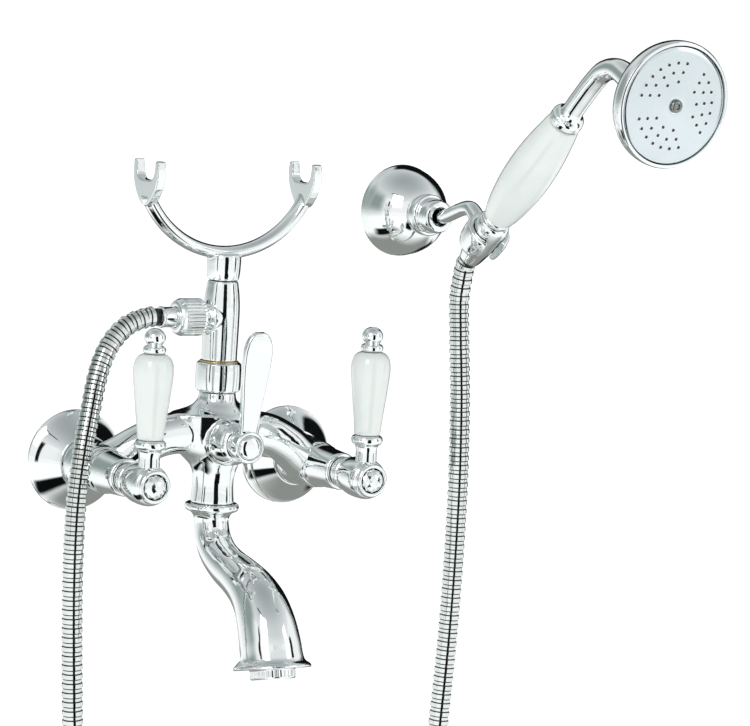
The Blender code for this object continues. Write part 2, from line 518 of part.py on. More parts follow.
# ---- the hand shower ------------------------------------------------------------------------------
def hand_shower():
    """Hose tail, cone nut, inlet, porcelain handle, gooseneck, head shell and spray plate."""
    ferrule = turned("handset_ferrule", [(7.4, 2.4), (7.4, -0.6), (5.2, -0.6), (5.2, -20.9), (3.6, -20.9),
                                         (3.6, 2.4)], CHROME, CLAMP, HAND, 16)
    cone = turned("cone_nut", [(8.6, 16.8), (9.8, 15.8), (10.5, 12.5), (10.5, 9.0), (9.2, -8.4),
                               (8.2, -14.0), (6.9, -21.0), (5.6, -21.0), (5.6, -1.0), (8.0, -1.0),
                               (8.0, 16.8)], CHROME, CLAMP, HAND, 20)
    inlet = turned("handset_inlet", [(8.8, 20.7), (9.2, 19.6), (9.2, 18.0), (8.6, 17.1), (7.6, 17.1),
                                     (7.6, 2.9), (4.0, 2.9), (4.0, 11.6), (5.4, 11.6),
                                     (5.4, 20.7)], CHROME, CLAMP, HAND)
    grip = turned("handset_grip", [(9.4, 113.7), (10.4, 112.9), (11.5, 106.0), (13.4, 92.0), (14.6, 78.0),
                                   (14.9, 65.0), (14.3, 50.0), (12.8, 36.0), (10.9, 26.0), (9.6, 21.6),
                                   (8.8, 21.0), (5.5, 21.0), (5.5, 113.7)], PORCELAIN, CLAMP, HAND, 20)
    neck = turned("handset_neck", [(0, 126.0), (6.9, 126.0), (7.6, 122.5), (9.6, 120.4), (10.4, 118.6),
                                   (10.4, 115.4), (9.7, 114.1), (5.1, 114.1), (5.1, 12.0), (0, 12.0)],
                  CHROME, CLAMP, HAND)
    start = CLAMP + HAND * 122.0
    meet = FACE - FACE_OUT * 30.0
    bend = smooth_path([start, start + HAND * 14.0, (BRACKET_X, -216.5, 254.5), (BRACKET_X, -227.5, 261.5),
                        (BRACKET_X, -241.0, 263.0), (BRACKET_X, -256.0, 257.5), meet], 6.5)
    widths = [6.5 + 2.2 * max(0.0, k / (len(bend) - 1) - 0.6) / 0.4 for k in range(len(bend))]
    goose = as_mesh(pipe("goose", bend, widths, None, 16))
    join(neck, goose)
    lower = [CLAMP + HAND * s for s in (0.0, 60.0, 110.0)]
    waterway = lower + bend + [meet + (meet - bend[-2])]
    cut(neck, as_mesh(pipe("hand_waterway", waterway, [3.6] * len(waterway), None, 8)))
    shell = turned("head_shell", [(9.4, -30.3), (15.0, -28.0), (22.5, -24.0), (29.4, -18.6), (34.4, -12.6),
                                  (36.8, -7.6), (HEAD_R, -2.4), (37.0, 0.0), (35.2, 0.0), (34.9, -2.4),
                                  (34.4, -7.2), (31.8, -12.8), (27.0, -17.4), (20.5, -21.6),
                                  (9.4, -25.6)][::-1], CHROME, FACE, FACE_OUT, 40)
    plate = turned("spray_plate", [(0, 1.2), (16.0, 0.9), (28.0, 0.2), (34.2, -0.6), (34.6, -1.6),
                                   (34.0, -3.2), (3.2, -3.2), (3.2, -2.2), (0, -2.2)], CHROME, FACE,
                   FACE_OUT, 32)
    screw = turned("spray_screw", [(0, 3.4), (1.8, 3.3), (3.3, 2.6), (3.9, 1.6), (0, 1.6)], STEEL, FACE,
                   FACE_OUT, 16)
    pivot("handset_lift", CLAMP, [ferrule])
    pivot("handset_axis", CLAMP, [cone, inlet, grip, neck, shell, plate, screw])


def shower_hose():
    """The free hose, one plain tube from the outlet's ferrule to the hand shower's cone nut."""
    start = Vector((-43.4, COLUMN_Y, OUTLET_Z))
    points = [start] + smooth_path(HOSE_ROUTE, HOSE_STEP) + [CLAMP - HAND * 21.5]
    pipe("shower_hose", points, [HOSE_R] * len(points), STEEL, 10)


for old in list(bpy.data.objects):
    bpy.data.objects.remove(old)
PARTS = collection("wall_bath_mixer")
CUTTERS = collection("cutters")
CHROME = finish("chrome", (0.86, 0.88, 0.88), 0.05, 1.0)
BRASS = finish("brass", (0.78, 0.62, 0.34), 0.3, 1.0)
STEEL = finish("steel", (0.75, 0.76, 0.77), 0.18, 1.0)
PORCELAIN = finish("porcelain", (0.93, 0.95, 0.93), 0.08, 0.0)
CRYSTAL = finish("crystal", (0.95, 0.97, 0.98), 0.02, 0.0, 0.9)
RUBBER = finish("rubber", (0.04, 0.04, 0.04), 0.7, 0.0)
PLASTIC = finish("plastic", (0.80, 0.82, 0.82), 0.4, 0.0)

mixer_body()
for inlet_name, inlet_side in (("hot", -1), ("cold", 1)):
    wall_connection(inlet_name, inlet_side)
    valve(inlet_name, inlet_side)
diverter()
column()
cradle()
spout()
wall_bracket()
hand_shower()
shower_hose()
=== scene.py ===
import json
import math

import bmesh
import bpy
from mathutils import Matrix, Vector
from mathutils.geometry import interpolate_bezier


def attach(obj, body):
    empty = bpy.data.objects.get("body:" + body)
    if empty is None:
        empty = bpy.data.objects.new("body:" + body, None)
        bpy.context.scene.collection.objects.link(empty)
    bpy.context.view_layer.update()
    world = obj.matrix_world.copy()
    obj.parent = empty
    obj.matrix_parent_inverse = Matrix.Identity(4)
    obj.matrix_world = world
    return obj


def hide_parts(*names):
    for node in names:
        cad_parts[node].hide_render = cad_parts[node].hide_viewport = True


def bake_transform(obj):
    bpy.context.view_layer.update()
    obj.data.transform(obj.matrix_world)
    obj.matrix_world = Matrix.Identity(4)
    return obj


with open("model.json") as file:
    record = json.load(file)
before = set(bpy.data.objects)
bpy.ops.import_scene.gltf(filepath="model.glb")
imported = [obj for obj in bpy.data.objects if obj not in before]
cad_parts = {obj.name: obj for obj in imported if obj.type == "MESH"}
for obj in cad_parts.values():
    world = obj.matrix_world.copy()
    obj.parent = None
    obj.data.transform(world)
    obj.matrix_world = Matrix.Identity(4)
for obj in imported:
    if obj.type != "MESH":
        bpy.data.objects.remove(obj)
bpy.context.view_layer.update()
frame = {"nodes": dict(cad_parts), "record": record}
MM = 0.001

# ==== The view ====================================================================================
# A long lens stands to the left of the fitting, a little above the valves, and looks slightly down.
# Its aim lies to the right of the column and a little above the valves.
view_az, view_el, view_roll = math.radians(-28.0), math.radians(8.3), math.radians(2.85)
view_distance, view_target = 2.25, Vector((0.0, -0.04, 0.0))
focal, aim_right, aim_up = 172.8, 7.958, 4.939

back = Vector((math.sin(view_az) * math.cos(view_el), -math.cos(view_az) * math.cos(view_el),
               math.sin(view_el)))
level = Vector((math.cos(view_az), math.sin(view_az), 0.0))
upright = back.cross(level)
right = level * math.cos(view_roll) + upright * math.sin(view_roll)
above = upright * math.cos(view_roll) - level * math.sin(view_roll)
aim = (-back * focal + right * aim_right + above * aim_up).normalized()
turn = (-back).rotation_difference(aim).to_matrix()
right, above = turn @ right, turn @ above


def placed(name, data):
    """A new object in the scene."""
    made = bpy.data.objects.new(name, data)
    bpy.context.scene.collection.objects.link(made)
    return made


lens_data = bpy.data.cameras.new("long_lens")
lens_data.lens = focal
lens_data.sensor_width = 36.0
lens = placed("long_lens", lens_data)
lens.matrix_world = Matrix.Translation(view_target + back * view_distance) @ Matrix(
    (right, above, -aim)).transposed().to_4x4()
bpy.context.scene.camera = lens


# ==== The armoured hose ===========================================================================
# A flexible hose 1.25 m long: a liner wound over with a shaped steel strip, which gives it bright
# rings, wide and narrow by turns, with dark gaps between them. It hangs between the mixer's outlet
# and the hand shower's cone nut.
class Sock:
    """One output socket of a node tree, with arithmetic."""

    def __init__(self, tree, socket):
        self.tree, self.socket = tree, socket

    def _math(self, operation, other, swap=False):
        made = node(self.tree, "ShaderNodeMath", {"operation": operation},
                    {0: other if swap else self, 1: self if swap else other})
        return made

    def __add__(self, other):
        return self._math("ADD", other)

    def __mul__(self, other):
        return self._math("MULTIPLY", other)

    def __sub__(self, other):
        return self._math("SUBTRACT", other)

    def __rsub__(self, other):
        return self._math("SUBTRACT", other, True)

    __radd__, __rmul__ = __add__, __mul__


def node(tree, kind, settings=None, inputs=None, output=0):
    """Any node: its settings first, then the values or links of its sockets."""
    made = tree.nodes.new(kind)
    for key, value in (settings or {}).items():
        if key == "ramp":
            ramp = made.color_ramp
            for index, (place, colour) in enumerate(value):
                stop = ramp.elements[index] if index < 2 else ramp.elements.new(place)
                stop.position = place
                stop.color = (*colour, 1.0)
        else:
            setattr(made, key, value)
    for key, value in (inputs or {}).items():
        if isinstance(value, Sock):
            tree.links.new(value.socket, made.inputs[key])
        else:
            made.inputs[key].default_value = value
    return Sock(tree, made.outputs[output])


def blank(name):
    """A new material: its tree, its Principled shader and the place on the object in metres."""
    made = bpy.data.materials.new(name)
    made.use_nodes = True
    tree = made.node_tree
    return made, tree, tree.nodes["Principled BSDF"], node(tree, "ShaderNodeTexCoord", output=3)


def plug(shader, values):
    """Set the shader's sockets, or link them where the value changes over the surface."""
    for key, value in values.items():
        if isinstance(value, Sock):
            value.tree.links.new(value.socket, shader.inputs[key])
        else:
            shader.inputs[key].default_value = value


def metal(name, dark, light, rough, rough_change, grain=900.0, bump=0.03):
    """Polished or turned metal: faint clouds in its colour, fine wiping marks in its gloss."""
    made, tree, shader, place = blank(name)
    clouds = node(tree, "ShaderNodeTexNoise", {}, {"Vector": place, "Scale": 38.0, "Detail": 4.0,
                                                   "Roughness": 0.6})
    wipes = node(tree, "ShaderNodeTexNoise", {}, {"Vector": place, "Scale": grain, "Detail": 5.0,
                                                  "Roughness": 0.7})
    marks = node(tree, "ShaderNodeTexNoise", {}, {"Vector": place, "Scale": 150.0, "Detail": 3.0,
                                                  "Distortion": 1.5})
    colour = node(tree, "ShaderNodeMix", {"data_type": "RGBA"}, {
        0: clouds, 6: (*dark, 1.0), 7: (*light, 1.0)}, 2)
    height = wipes * 0.7 + marks * 0.3
    ripple = node(tree, "ShaderNodeBump", {}, {"Strength": bump, "Distance": 0.0002, "Height": height})
    plug(shader, {"Base Color": colour, "Metallic": 1.0, "Normal": ripple,
                  "Roughness": rough + (marks * clouds) * rough_change})
    return made


def length_points(points, step):
    """Evenly spaced points on a Catmull-Rom curve through the given ones."""
    knots = [Vector(p) for p in points]
    knots = [knots[0] * 2 - knots[1]] + knots + [knots[-1] * 2 - knots[-2]]
    fine = []
    for before, start, end, after in zip(knots, knots[1:], knots[2:], knots[3:]):
        for k in range(20):
            t = k / 20
            fine.append(0.5 * (2 * start + (end - before) * t
                               + (2 * before - 5 * start + 4 * end - after) * t ** 2
                               + (3 * start - before - 3 * end + after) * t ** 3))
    fine.append(knots[-2])
    lengths = [0.0]
    for one, two in zip(fine, fine[1:]):
        lengths.append(lengths[-1] + (two - one).length)
    count = max(2, round(lengths[-1] / step))
    spaced, k = [], 0
    for index in range(count + 1):
        target = lengths[-1] * index / count
        while k < len(lengths) - 2 and lengths[k + 1] < target:
            k += 1
        part = (target - lengths[k]) / max(lengths[k + 1] - lengths[k], 1e-9)
        spaced.append(fine[k].lerp(fine[k + 1], min(max(part, 0.0), 1.0)))
    return spaced


def own(name, mesh, look, body, nodes):
    """Finish a piece: its material, the body it moves with, and the CAD nodes it stands for."""
    made = placed(name, mesh)
    mesh.materials.clear()
    mesh.materials.append(look)
    if body:
        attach(made, body)
    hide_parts(*nodes)
    return made


def settled(made, name):
    """The plain mesh that an object's modifiers give. The object itself is removed."""
    bpy.context.view_layer.update()
    graph = bpy.context.evaluated_depsgraph_get()
    mesh = bpy.data.meshes.new_from_object(made.evaluated_get(graph))
    bpy.data.objects.remove(made)
    mesh.name = name
    return mesh


def repeated(name, knots, tilts, ring, look, scale=1.0):
    """Copies of a small mesh, one at each given point and turned to its direction, as one mesh.

    The points carry a rotation each; Geometry Nodes place the copies and make them real.
    """
    seats = bpy.data.meshes.new(name + "_seats")
    seats.from_pydata([tuple(p) for p in knots], [], [])
    spins = seats.attributes.new("spin", "FLOAT_VECTOR", "POINT")
    for item, tilt in zip(spins.data, tilts):
        item.vector = tilt
    seat, pattern = placed(name + "_seats", seats), placed(name + "_one", ring)
    tree = bpy.data.node_groups.new(name + "_tree", "GeometryNodeTree")
    tree.interface.new_socket("Geometry", in_out="INPUT", socket_type="NodeSocketGeometry")
    size = tree.interface.new_socket("Size", in_out="INPUT", socket_type="NodeSocketFloat")
    tree.interface.new_socket("Geometry", in_out="OUTPUT", socket_type="NodeSocketGeometry")
    enter, leave = tree.nodes.new("NodeGroupInput"), tree.nodes.new("NodeGroupOutput")
    copy = tree.nodes.new("GeometryNodeObjectInfo")
    copy.inputs["Object"].default_value = pattern
    spin = tree.nodes.new("GeometryNodeInputNamedAttribute")
    spin.data_type = "FLOAT_VECTOR"
    spin.inputs["Name"].default_value = "spin"
    place = tree.nodes.new("GeometryNodeInstanceOnPoints")
    real = tree.nodes.new("GeometryNodeRealizeInstances")
    paint = tree.nodes.new("GeometryNodeSetMaterial")
    paint.inputs["Material"].default_value = look
    for giver, out, taker, into in (
            (enter, "Geometry", place, "Points"), (copy, "Geometry", place, "Instance"),
            (spin, "Attribute", place, "Rotation"), (enter, "Size", place, "Scale"),
            (place, "Instances", real, "Geometry"), (real, "Geometry", paint, "Geometry"),
            (paint, "Geometry", leave, "Geometry")):
        tree.links.new(giver.outputs[out], taker.inputs[into])
    change = seat.modifiers.new("copies", "NODES")
    change.node_group = tree
    change[size.identifier] = scale
    mesh = settled(seat, name)
    bpy.data.objects.remove(pattern)
    return mesh


def softened(profile, edge):
    """A lathe profile with its gentle bends made smooth and its sharp corners slightly rounded."""
    points = [Vector(p) for p in profile]
    closed = profile[0][0] > 0 or profile[-1][0] > 0
    count = len(points)
    sharp, ways = [], []
    for k, here in enumerate(points):
        if not closed and k in (0, count - 1):
            sharp.append(True)
            ways.append(None)
            continue
        before, after = points[k - 1], points[(k + 1) % count]
        one, two = (here - before).normalized(), (after - here).normalized()
        sharp.append(one.dot(two) < math.cos(math.radians(38)))
        ways.append((one + two).normalized() if one.dot(two) > -0.99 else two)
    curve = []
    for k in range(count if closed else count - 1):
        start, end = points[k], points[(k + 1) % count]
        span = end - start
        reach = span.length / 3
        first = span.normalized() if sharp[k] else ways[k]
        last = span.normalized() if sharp[(k + 1) % count] else ways[(k + 1) % count]
        straight = first.dot(span.normalized()) > 0.9998 and last.dot(span.normalized()) > 0.9998
        trim = min(edge, span.length * 0.3)
        if straight:
            at_start = start + span.normalized() * (trim if sharp[k] and start.x > 0 else 0)
            at_end = end - span.normalized() * (trim if sharp[(k + 1) % count] and end.x > 0 else 0)
            curve += [at_start, at_end]
            continue
        steps = 7
        bend = [Vector((p.x, p.y)) for p in interpolate_bezier(
            start.to_3d(), (start + first * reach).to_3d(), (end - last * reach).to_3d(),
            end.to_3d(), steps)]
        if sharp[k] and start.x > 0:
            bend[0] = start + first * min(trim, (bend[1] - start).length * 0.5)
        if sharp[(k + 1) % count] and end.x > 0:
            bend[-1] = end - last * min(trim, (bend[-2] - end).length * 0.5)
        curve += bend
    tidy = [curve[0]]
    for point in curve[1:]:
        if (point - tidy[-1]).length > 0.01:
            tidy.append(point)
    if closed and (tidy[0] - tidy[-1]).length < 0.01:
        tidy.pop()
    return [(max(p.x, 0.0), p.y) for p in tidy], closed


def spun_mesh(name, profile, at, along=(0, 0, 1), sides=72, edge=0.25, flutes=None):
    """A lathe-turned mesh in place. flutes is (count, depth, low, high, least radius): grooves."""
    rows, closed = softened(profile, edge)
    place = Matrix.Translation(Vector(at) * MM) @ Vector((0, 0, 1)).rotation_difference(
        Vector(along).normalized()).to_matrix().to_4x4()
    shape = bmesh.new()
    rings = []
    for radius, height in rows:
        if radius < 0.02:
            rings.append([shape.verts.new(place @ Vector((0, 0, height * MM)))])
            continue
        ring = []
        for k in range(sides):
            angle = 2 * math.pi * k / sides
            r = radius
            if flutes and flutes[2] <= height <= flutes[3] and radius > flutes[4]:
                r -= flutes[1] * abs(math.cos(angle * flutes[0] / 2)) ** 6
            ring.append(shape.verts.new(place @ Vector((r * MM * math.cos(angle), r * MM * math.sin(angle),
                                                        height * MM))))
        rings.append(ring)
    pairs = list(zip(rings, rings[1:])) + ([(rings[-1], rings[0])] if closed else [])
    for one, two in pairs:
        for k in range(sides):
            n = (k + 1) % sides
            if len(one) == 1 and len(two) == 1:
                continue
            if len(one) == 1:
                shape.faces.new((one[0], two[n], two[k]))
            elif len(two) == 1:
                shape.faces.new((one[k], one[n], two[0]))
            else:
                shape.faces.new((one[k], one[n], two[n], two[k]))
    return smooth_mesh(name, shape)


def smooth_mesh(name, shape):
    """A finished mesh: outward faces, smooth shading."""
    bmesh.ops.recalc_face_normals(shape, faces=shape.faces)
    mesh = bpy.data.meshes.new(name)
    shape.to_mesh(mesh)
    shape.free()
    mesh.polygons.foreach_set("use_smooth", [True] * len(mesh.polygons))
    mesh.update()
    return mesh


def swept_mesh(name, points, radii, sides=48, flat=(1.0, 1.0, 1.0), centre=(0, 0, 0)):
    """A closed round tube along points whose radius may change; flat stretches each ring along the world axes
    about its own point. centre is not used.
    """
    spots = [Vector(p) for p in points]
    shape = bmesh.new()
    rings = []
    side = None
    for k, spot in enumerate(spots):
        way = (spots[min(k + 1, len(spots) - 1)] - spots[max(k - 1, 0)]).normalized()
        if side is None:
            side = way.orthogonal().normalized()
        side = (side - way * side.dot(way)).normalized()
        other = way.cross(side)
        ring = []
        for j in range(sides):
            angle = 2 * math.pi * j / sides
            offset = (side * math.cos(angle) + other * math.sin(angle)) * radii[k]
            offset = Vector([offset[i] * flat[i] for i in range(3)])
            ring.append(shape.verts.new((spot + offset) * MM))
        rings.append(ring)
    for one, two in zip(rings, rings[1:]):
        for j in range(sides):
            n = (j + 1) % sides
            shape.faces.new((one[j], one[n], two[n], two[j]))
    for ring, spot in ((rings[0], spots[0]), (rings[-1], spots[-1])):
        hub = shape.verts.new(spot * MM)
        for j in range(sides):
            shape.faces.new((ring[j], ring[(j + 1) % sides], hub))
    return smooth_mesh(name, shape)


hose_steel = metal("hose_steel", (0.60, 0.64, 0.62), (0.77, 0.80, 0.78), 0.04, 0.1, 1500.0, 0.03)
hose_core = metal("hose_core", (0.02, 0.022, 0.02), (0.07, 0.075, 0.07), 0.3, 0.2, 1500.0, 0.04)
hose_slope = math.radians(43.0)
hand_way = Vector((0.0, -math.cos(hose_slope), math.sin(hose_slope)))
clamp_centre = Vector((152.2, -104.0, 150.5))
hose_route = [
    (-50.0, -46.0, 94.3), (-64.0, -46.8, 90.0), (-74.5, -48.0, 81.0), (-82.0, -50.0, 69.5),
    (-87.5, -53.0, 55.5), (-92.5, -56.5, 36.0), (-98.0, -60.5, 12.0), (-101.5, -62.0, -20.0),
    (-101.8, -62.5, -60.0), (-99.8, -63.0, -113.0), (-96.0, -63.5, -173.0), (-88.5, -64.5, -244.0),
    (-75.0, -66.0, -315.0), (-51.0, -68.0, -381.0), (-11.0, -70.0, -427.0), (36.0, -72.0, -440.0),
    (82.0, -74.0, -418.0), (117.0, -76.0, -363.0), (138.5, -77.5, -292.0), (151.0, -79.0, -208.0),
    (157.0, -80.0, -113.0), (158.6, -80.0, -25.0), (156.6, -80.0, 40.0), (153.6, -79.0, 85.0),
    (152.4, -78.4, 108.0), (152.2, -81.0, 122.5), (152.2, -83.8, 131.7),
]
hose_r, core_r, ring_pitch = 6.4, 5.4, 5.7
hose_start, hose_end = Vector((-43.4, -46.0, 94.3)), clamp_centre - hand_way * 21.5
hose_line = length_points([hose_start, *hose_route, hose_end], ring_pitch)
hose_ring = spun_mesh("hose_ring", [
    (4.9, 3.85), (5.85, 3.7), (5.85, 2.0), (5.0, 1.9), (5.0, 1.45), (hose_r, 1.25), (hose_r, -1.25),
    (4.9, -1.45)], (0, 0, 0), (0, 0, 1), 24, 0.0)
hose_ring.set_sharp_from_angle(angle=math.radians(30))
ring_ways = [(hose_line[min(k + 1, len(hose_line) - 1)] - hose_line[max(k - 1, 0)]).normalized()
             for k in range(len(hose_line))]
ring_tilts = [Vector((0, 0, 1)).rotation_difference(way).to_euler() for way in ring_ways]
rings = repeated("shower_hose_rings", [p * MM for p in hose_line[1:-1]], ring_tilts[1:-1], hose_ring,
                 hose_steel)
core = swept_mesh("shower_hose", hose_line, [core_r] * len(hose_line), 20)
whole = bmesh.new()
whole.from_mesh(core)
core_count = len(whole.faces)
core.clear_geometry()
core.materials.append(hose_steel)
core.materials.append(hose_core)
whole.from_mesh(rings)
for index, face in enumerate(whole.faces):
    face.material_index = 1 if index < core_count else 0
whole.to_mesh(core)
whole.free()
hose = placed("shower_hose_armour", core)
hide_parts("shower_hose")
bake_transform(hose)

# ==== The casting =================================================================================
# The mixer's body is cast in brass as one piece: an upright, two swept arms, two valve tubes and
# the boss for the diverter. It is ground, polished and chrome plated, so every join has a fillet.
chrome = metal("polished_chrome", (0.77, 0.81, 0.81), (0.88, 0.90, 0.90), 0.03, 0.07)
valve_x, column_y, diverter_z = 75.0, -46.0, 18.9
outward = (0, -1, 0)


def fused(name, meshes, voxel, rounds):
    """Several closed meshes made one skin, with a small fillet where they meet."""
    pile = bmesh.new()
    for mesh in meshes:
        pile.from_mesh(mesh)
    joined = bpy.data.meshes.new(name)
    pile.to_mesh(joined)
    pile.free()
    made = placed(name, joined)
    skin = made.modifiers.new("skin", "REMESH")
    skin.mode = "VOXEL"
    skin.voxel_size = voxel * MM
    skin.use_smooth_shade = True
    ease = made.modifiers.new("ease", "SMOOTH")
    ease.factor = 0.5
    ease.iterations = rounds
    return settled(made, name)


shapes = [spun_mesh("upright", [(0, 47.9), (11.5, 47.9), (11.5, 45.0), (12.6, 42.2), (15.5, 38.4),
                                (18.4, 33.5), (19.4, 24.0), (18.2, 12.0), (15.6, 3.0), (13.4, -4.0),
                                (12.9, -10.0), (13.2, -16.0), (13.7, -22.0), (0, -22.0)],
                    (0, column_y, 0)),
          spun_mesh("boss", [(0, 66.0), (14.6, 66.0), (14.6, 20.0), (0, 20.0)], (0, 0, diverter_z),
                    outward)]
saddle_depth = 0.6
saddle = spun_mesh("saddle", [(0, 44.0), (12.2, 43.6), (14.5, 41.2), (18.5, 38.6), (24.0, 36.6), (31.0, 34.6),
                              (31.0, 20.0), (27.0, 12.0), (21.5, 7.0), (16.5, 2.0), (13.6, -3.0),
                              (12.2, -8.0), (0, -8.0)], (0, 0, 0))
saddle.transform(Matrix.Translation((0, column_y * MM, 0)) @ Matrix.Diagonal((1.0, saddle_depth, 1.0, 1.0)))
shapes.append(saddle)
for side in (-1, 1):
    sweep = [(0, column_y, 22.6), (side * 20, column_y, 22.6), (side * 37, column_y + 0.5, 20.6),
             (side * 51, column_y + 3, 14.2), (side * 62, column_y + 7, 6.6),
             (side * 70, column_y + 10.5, 1.6), (side * (valve_x + 1), column_y + 12, -0.6)]
    line = length_points(sweep, 2.0)
    shapes.append(swept_mesh("arm", line, [14.4 - 1.6 * math.sin(min(abs(p.x), 80) / 80 * math.pi)
                                           for p in line]))
    shapes.append(spun_mesh("valve_tube", [(0, 48.0), (13.9, 48.0), (14.6, 46.8), (14.6, 36), (15.2, 30),
                                           (16.4, 25), (16.6, 20.5), (15.8, 19.4), (0, 19.2)],
                            (side * valve_x, 0, 0), outward))
own("casting", fused("casting", shapes, 0.8, 7), chrome, "mixer", ["mixer_body"])

# ==== Wall flanges and unions =====================================================================
# A thin spun brass cone hides each pipe in the wall and has a rolled rim. Behind it a hexagonal
# union nut pulls the body's boss against a rubber washer on the wall union.
brass = metal("turned_brass", (0.60, 0.44, 0.20), (0.86, 0.70, 0.40), 0.22, 0.25, 700.0, 0.12)


def spun(name, profile, at, along, body, nodes, look=chrome, slot="chrome", **shape):
    """A turned piece that stands for a CAD node."""
    return own(name, spun_mesh(name, profile, at, along, **shape), look, body, nodes)


for inlet, side in (("hot", -1), ("cold", 1)):
    centre = (side * valve_x, 0, 0)
    spun(inlet + "_wall_flange", [(17.4, 19.0), (20.0, 15.2), (24.0, 9.9), (28.4, 4.7), (30.4, 2.9),
                                  (31.4, 2.2), (31.5, 0.6), (31.0, 0.05), (30.2, 0.05), (29.6, 1.4),
                                  (27.4, 3.9), (22.8, 9.2), (18.8, 14.4), (16.3, 19.0)], centre, outward,
         "mixer", [inlet + "_rosette"], sides=96, edge=0.15)

# ==== Valve bonnets ===============================================================================
# Each valve tube is closed by a turned bonnet that screws in over the cartridge: a short collar, a
# slightly tapered barrel and a rounded front end.
for inlet, side in (("hot", -1), ("cold", 1)):
    centre = (side * valve_x, 0, 0)
    spun(inlet + "_valve_bonnet", [(9.3, 76.5), (10.4, 76.5), (11.3, 75.9), (11.7, 74.8), (11.9, 72.0),
                                   (12.4, 63.0), (13.0, 54.0), (13.2, 52.4), (13.8, 51.4), (13.9, 50.6),
                                   (13.9, 49.0), (13.5, 48.3), (9.3, 48.3)],
         centre, outward, "mixer", [inlet + "_bonnet"])

# ==== Valve levers ================================================================================
# A turned hub with rounded rings sits on each spindle and carries a clear crystal in its front
# face. The lever stands on it: a plated collar, a white glazed grip and a ball-topped nut.
stem_y = -104.5


def glaze(name, shade, light):
    """White glazed porcelain: a glassy skin over a body with a very faint clouding."""
    made, tree, shader, place = blank(name)
    clouds = node(tree, "ShaderNodeTexNoise", {}, {"Vector": place, "Scale": 60.0, "Detail": 3.0})
    specks = node(tree, "ShaderNodeTexNoise", {}, {"Vector": place, "Scale": 900.0, "Detail": 2.0})
    colour = node(tree, "ShaderNodeMix", {"data_type": "RGBA"}, {
        0: clouds, 6: (*shade, 1.0), 7: (*light, 1.0)}, 2)
    dimple = node(tree, "ShaderNodeBump", {}, {"Strength": 0.03, "Distance": 0.0003,
                                               "Height": clouds * 0.7 + specks * 0.3})
    plug(shader, {"Base Color": colour, "Roughness": 0.1 + specks * 0.08, "Normal": dimple,
                  "Coat Weight": 0.6, "Coat Roughness": 0.03, "IOR": 1.52,
                  "Subsurface Weight": 0.08, "Subsurface Scale": 0.004})
    return made


porcelain = glaze("white_glaze", (0.68, 0.725, 0.70), (0.74, 0.785, 0.76))
crystal, crystal_tree, crystal_shader, crystal_place = blank("clear_crystal")
crystal_clouds = node(crystal_tree, "ShaderNodeTexNoise", {}, {"Vector": crystal_place, "Scale": 420.0,
                                                               "Detail": 2.0})
plug(crystal_shader, {
    "Base Color": node(crystal_tree, "ShaderNodeMix", {"data_type": "RGBA"}, {
        0: crystal_clouds, 6: (0.90, 0.94, 0.95, 1.0), 7: (0.98, 0.99, 1.0, 1.0)}, 2),
    "Roughness": crystal_clouds * 0.006, "Metallic": 0.8, "Transmission Weight": 1.0, "IOR": 1.9})


def faceted(name, rows, at, along, sides):
    """A cut gem: flat faces between a few rings, each ring turned half a step from the last."""
    place = Matrix.Translation(Vector(at) * MM) @ Vector((0, 0, 1)).rotation_difference(
        Vector(along)).to_matrix().to_4x4()
    shape = bmesh.new()
    rings = []
    for k, (radius, height) in enumerate(rows):
        rings.append([shape.verts.new(place @ Vector((
            radius * MM * math.cos(2 * math.pi * (j + k / 2) / sides),
            radius * MM * math.sin(2 * math.pi * (j + k / 2) / sides), height * MM)))
            for j in range(sides)])
    shape.faces.new(rings[0])
    shape.faces.new(rings[-1])
    for k, (one, two) in enumerate(zip(rings, rings[1:])):
        for j in range(sides):
            n = (j + 1) % sides
            shape.faces.new((one[j], one[n], two[j]))
            shape.faces.new((one[n], two[n], two[j]))
    bmesh.ops.recalc_face_normals(shape, faces=shape.faces)
    mesh = bpy.data.meshes.new(name)
    shape.to_mesh(mesh)
    shape.free()
    return mesh


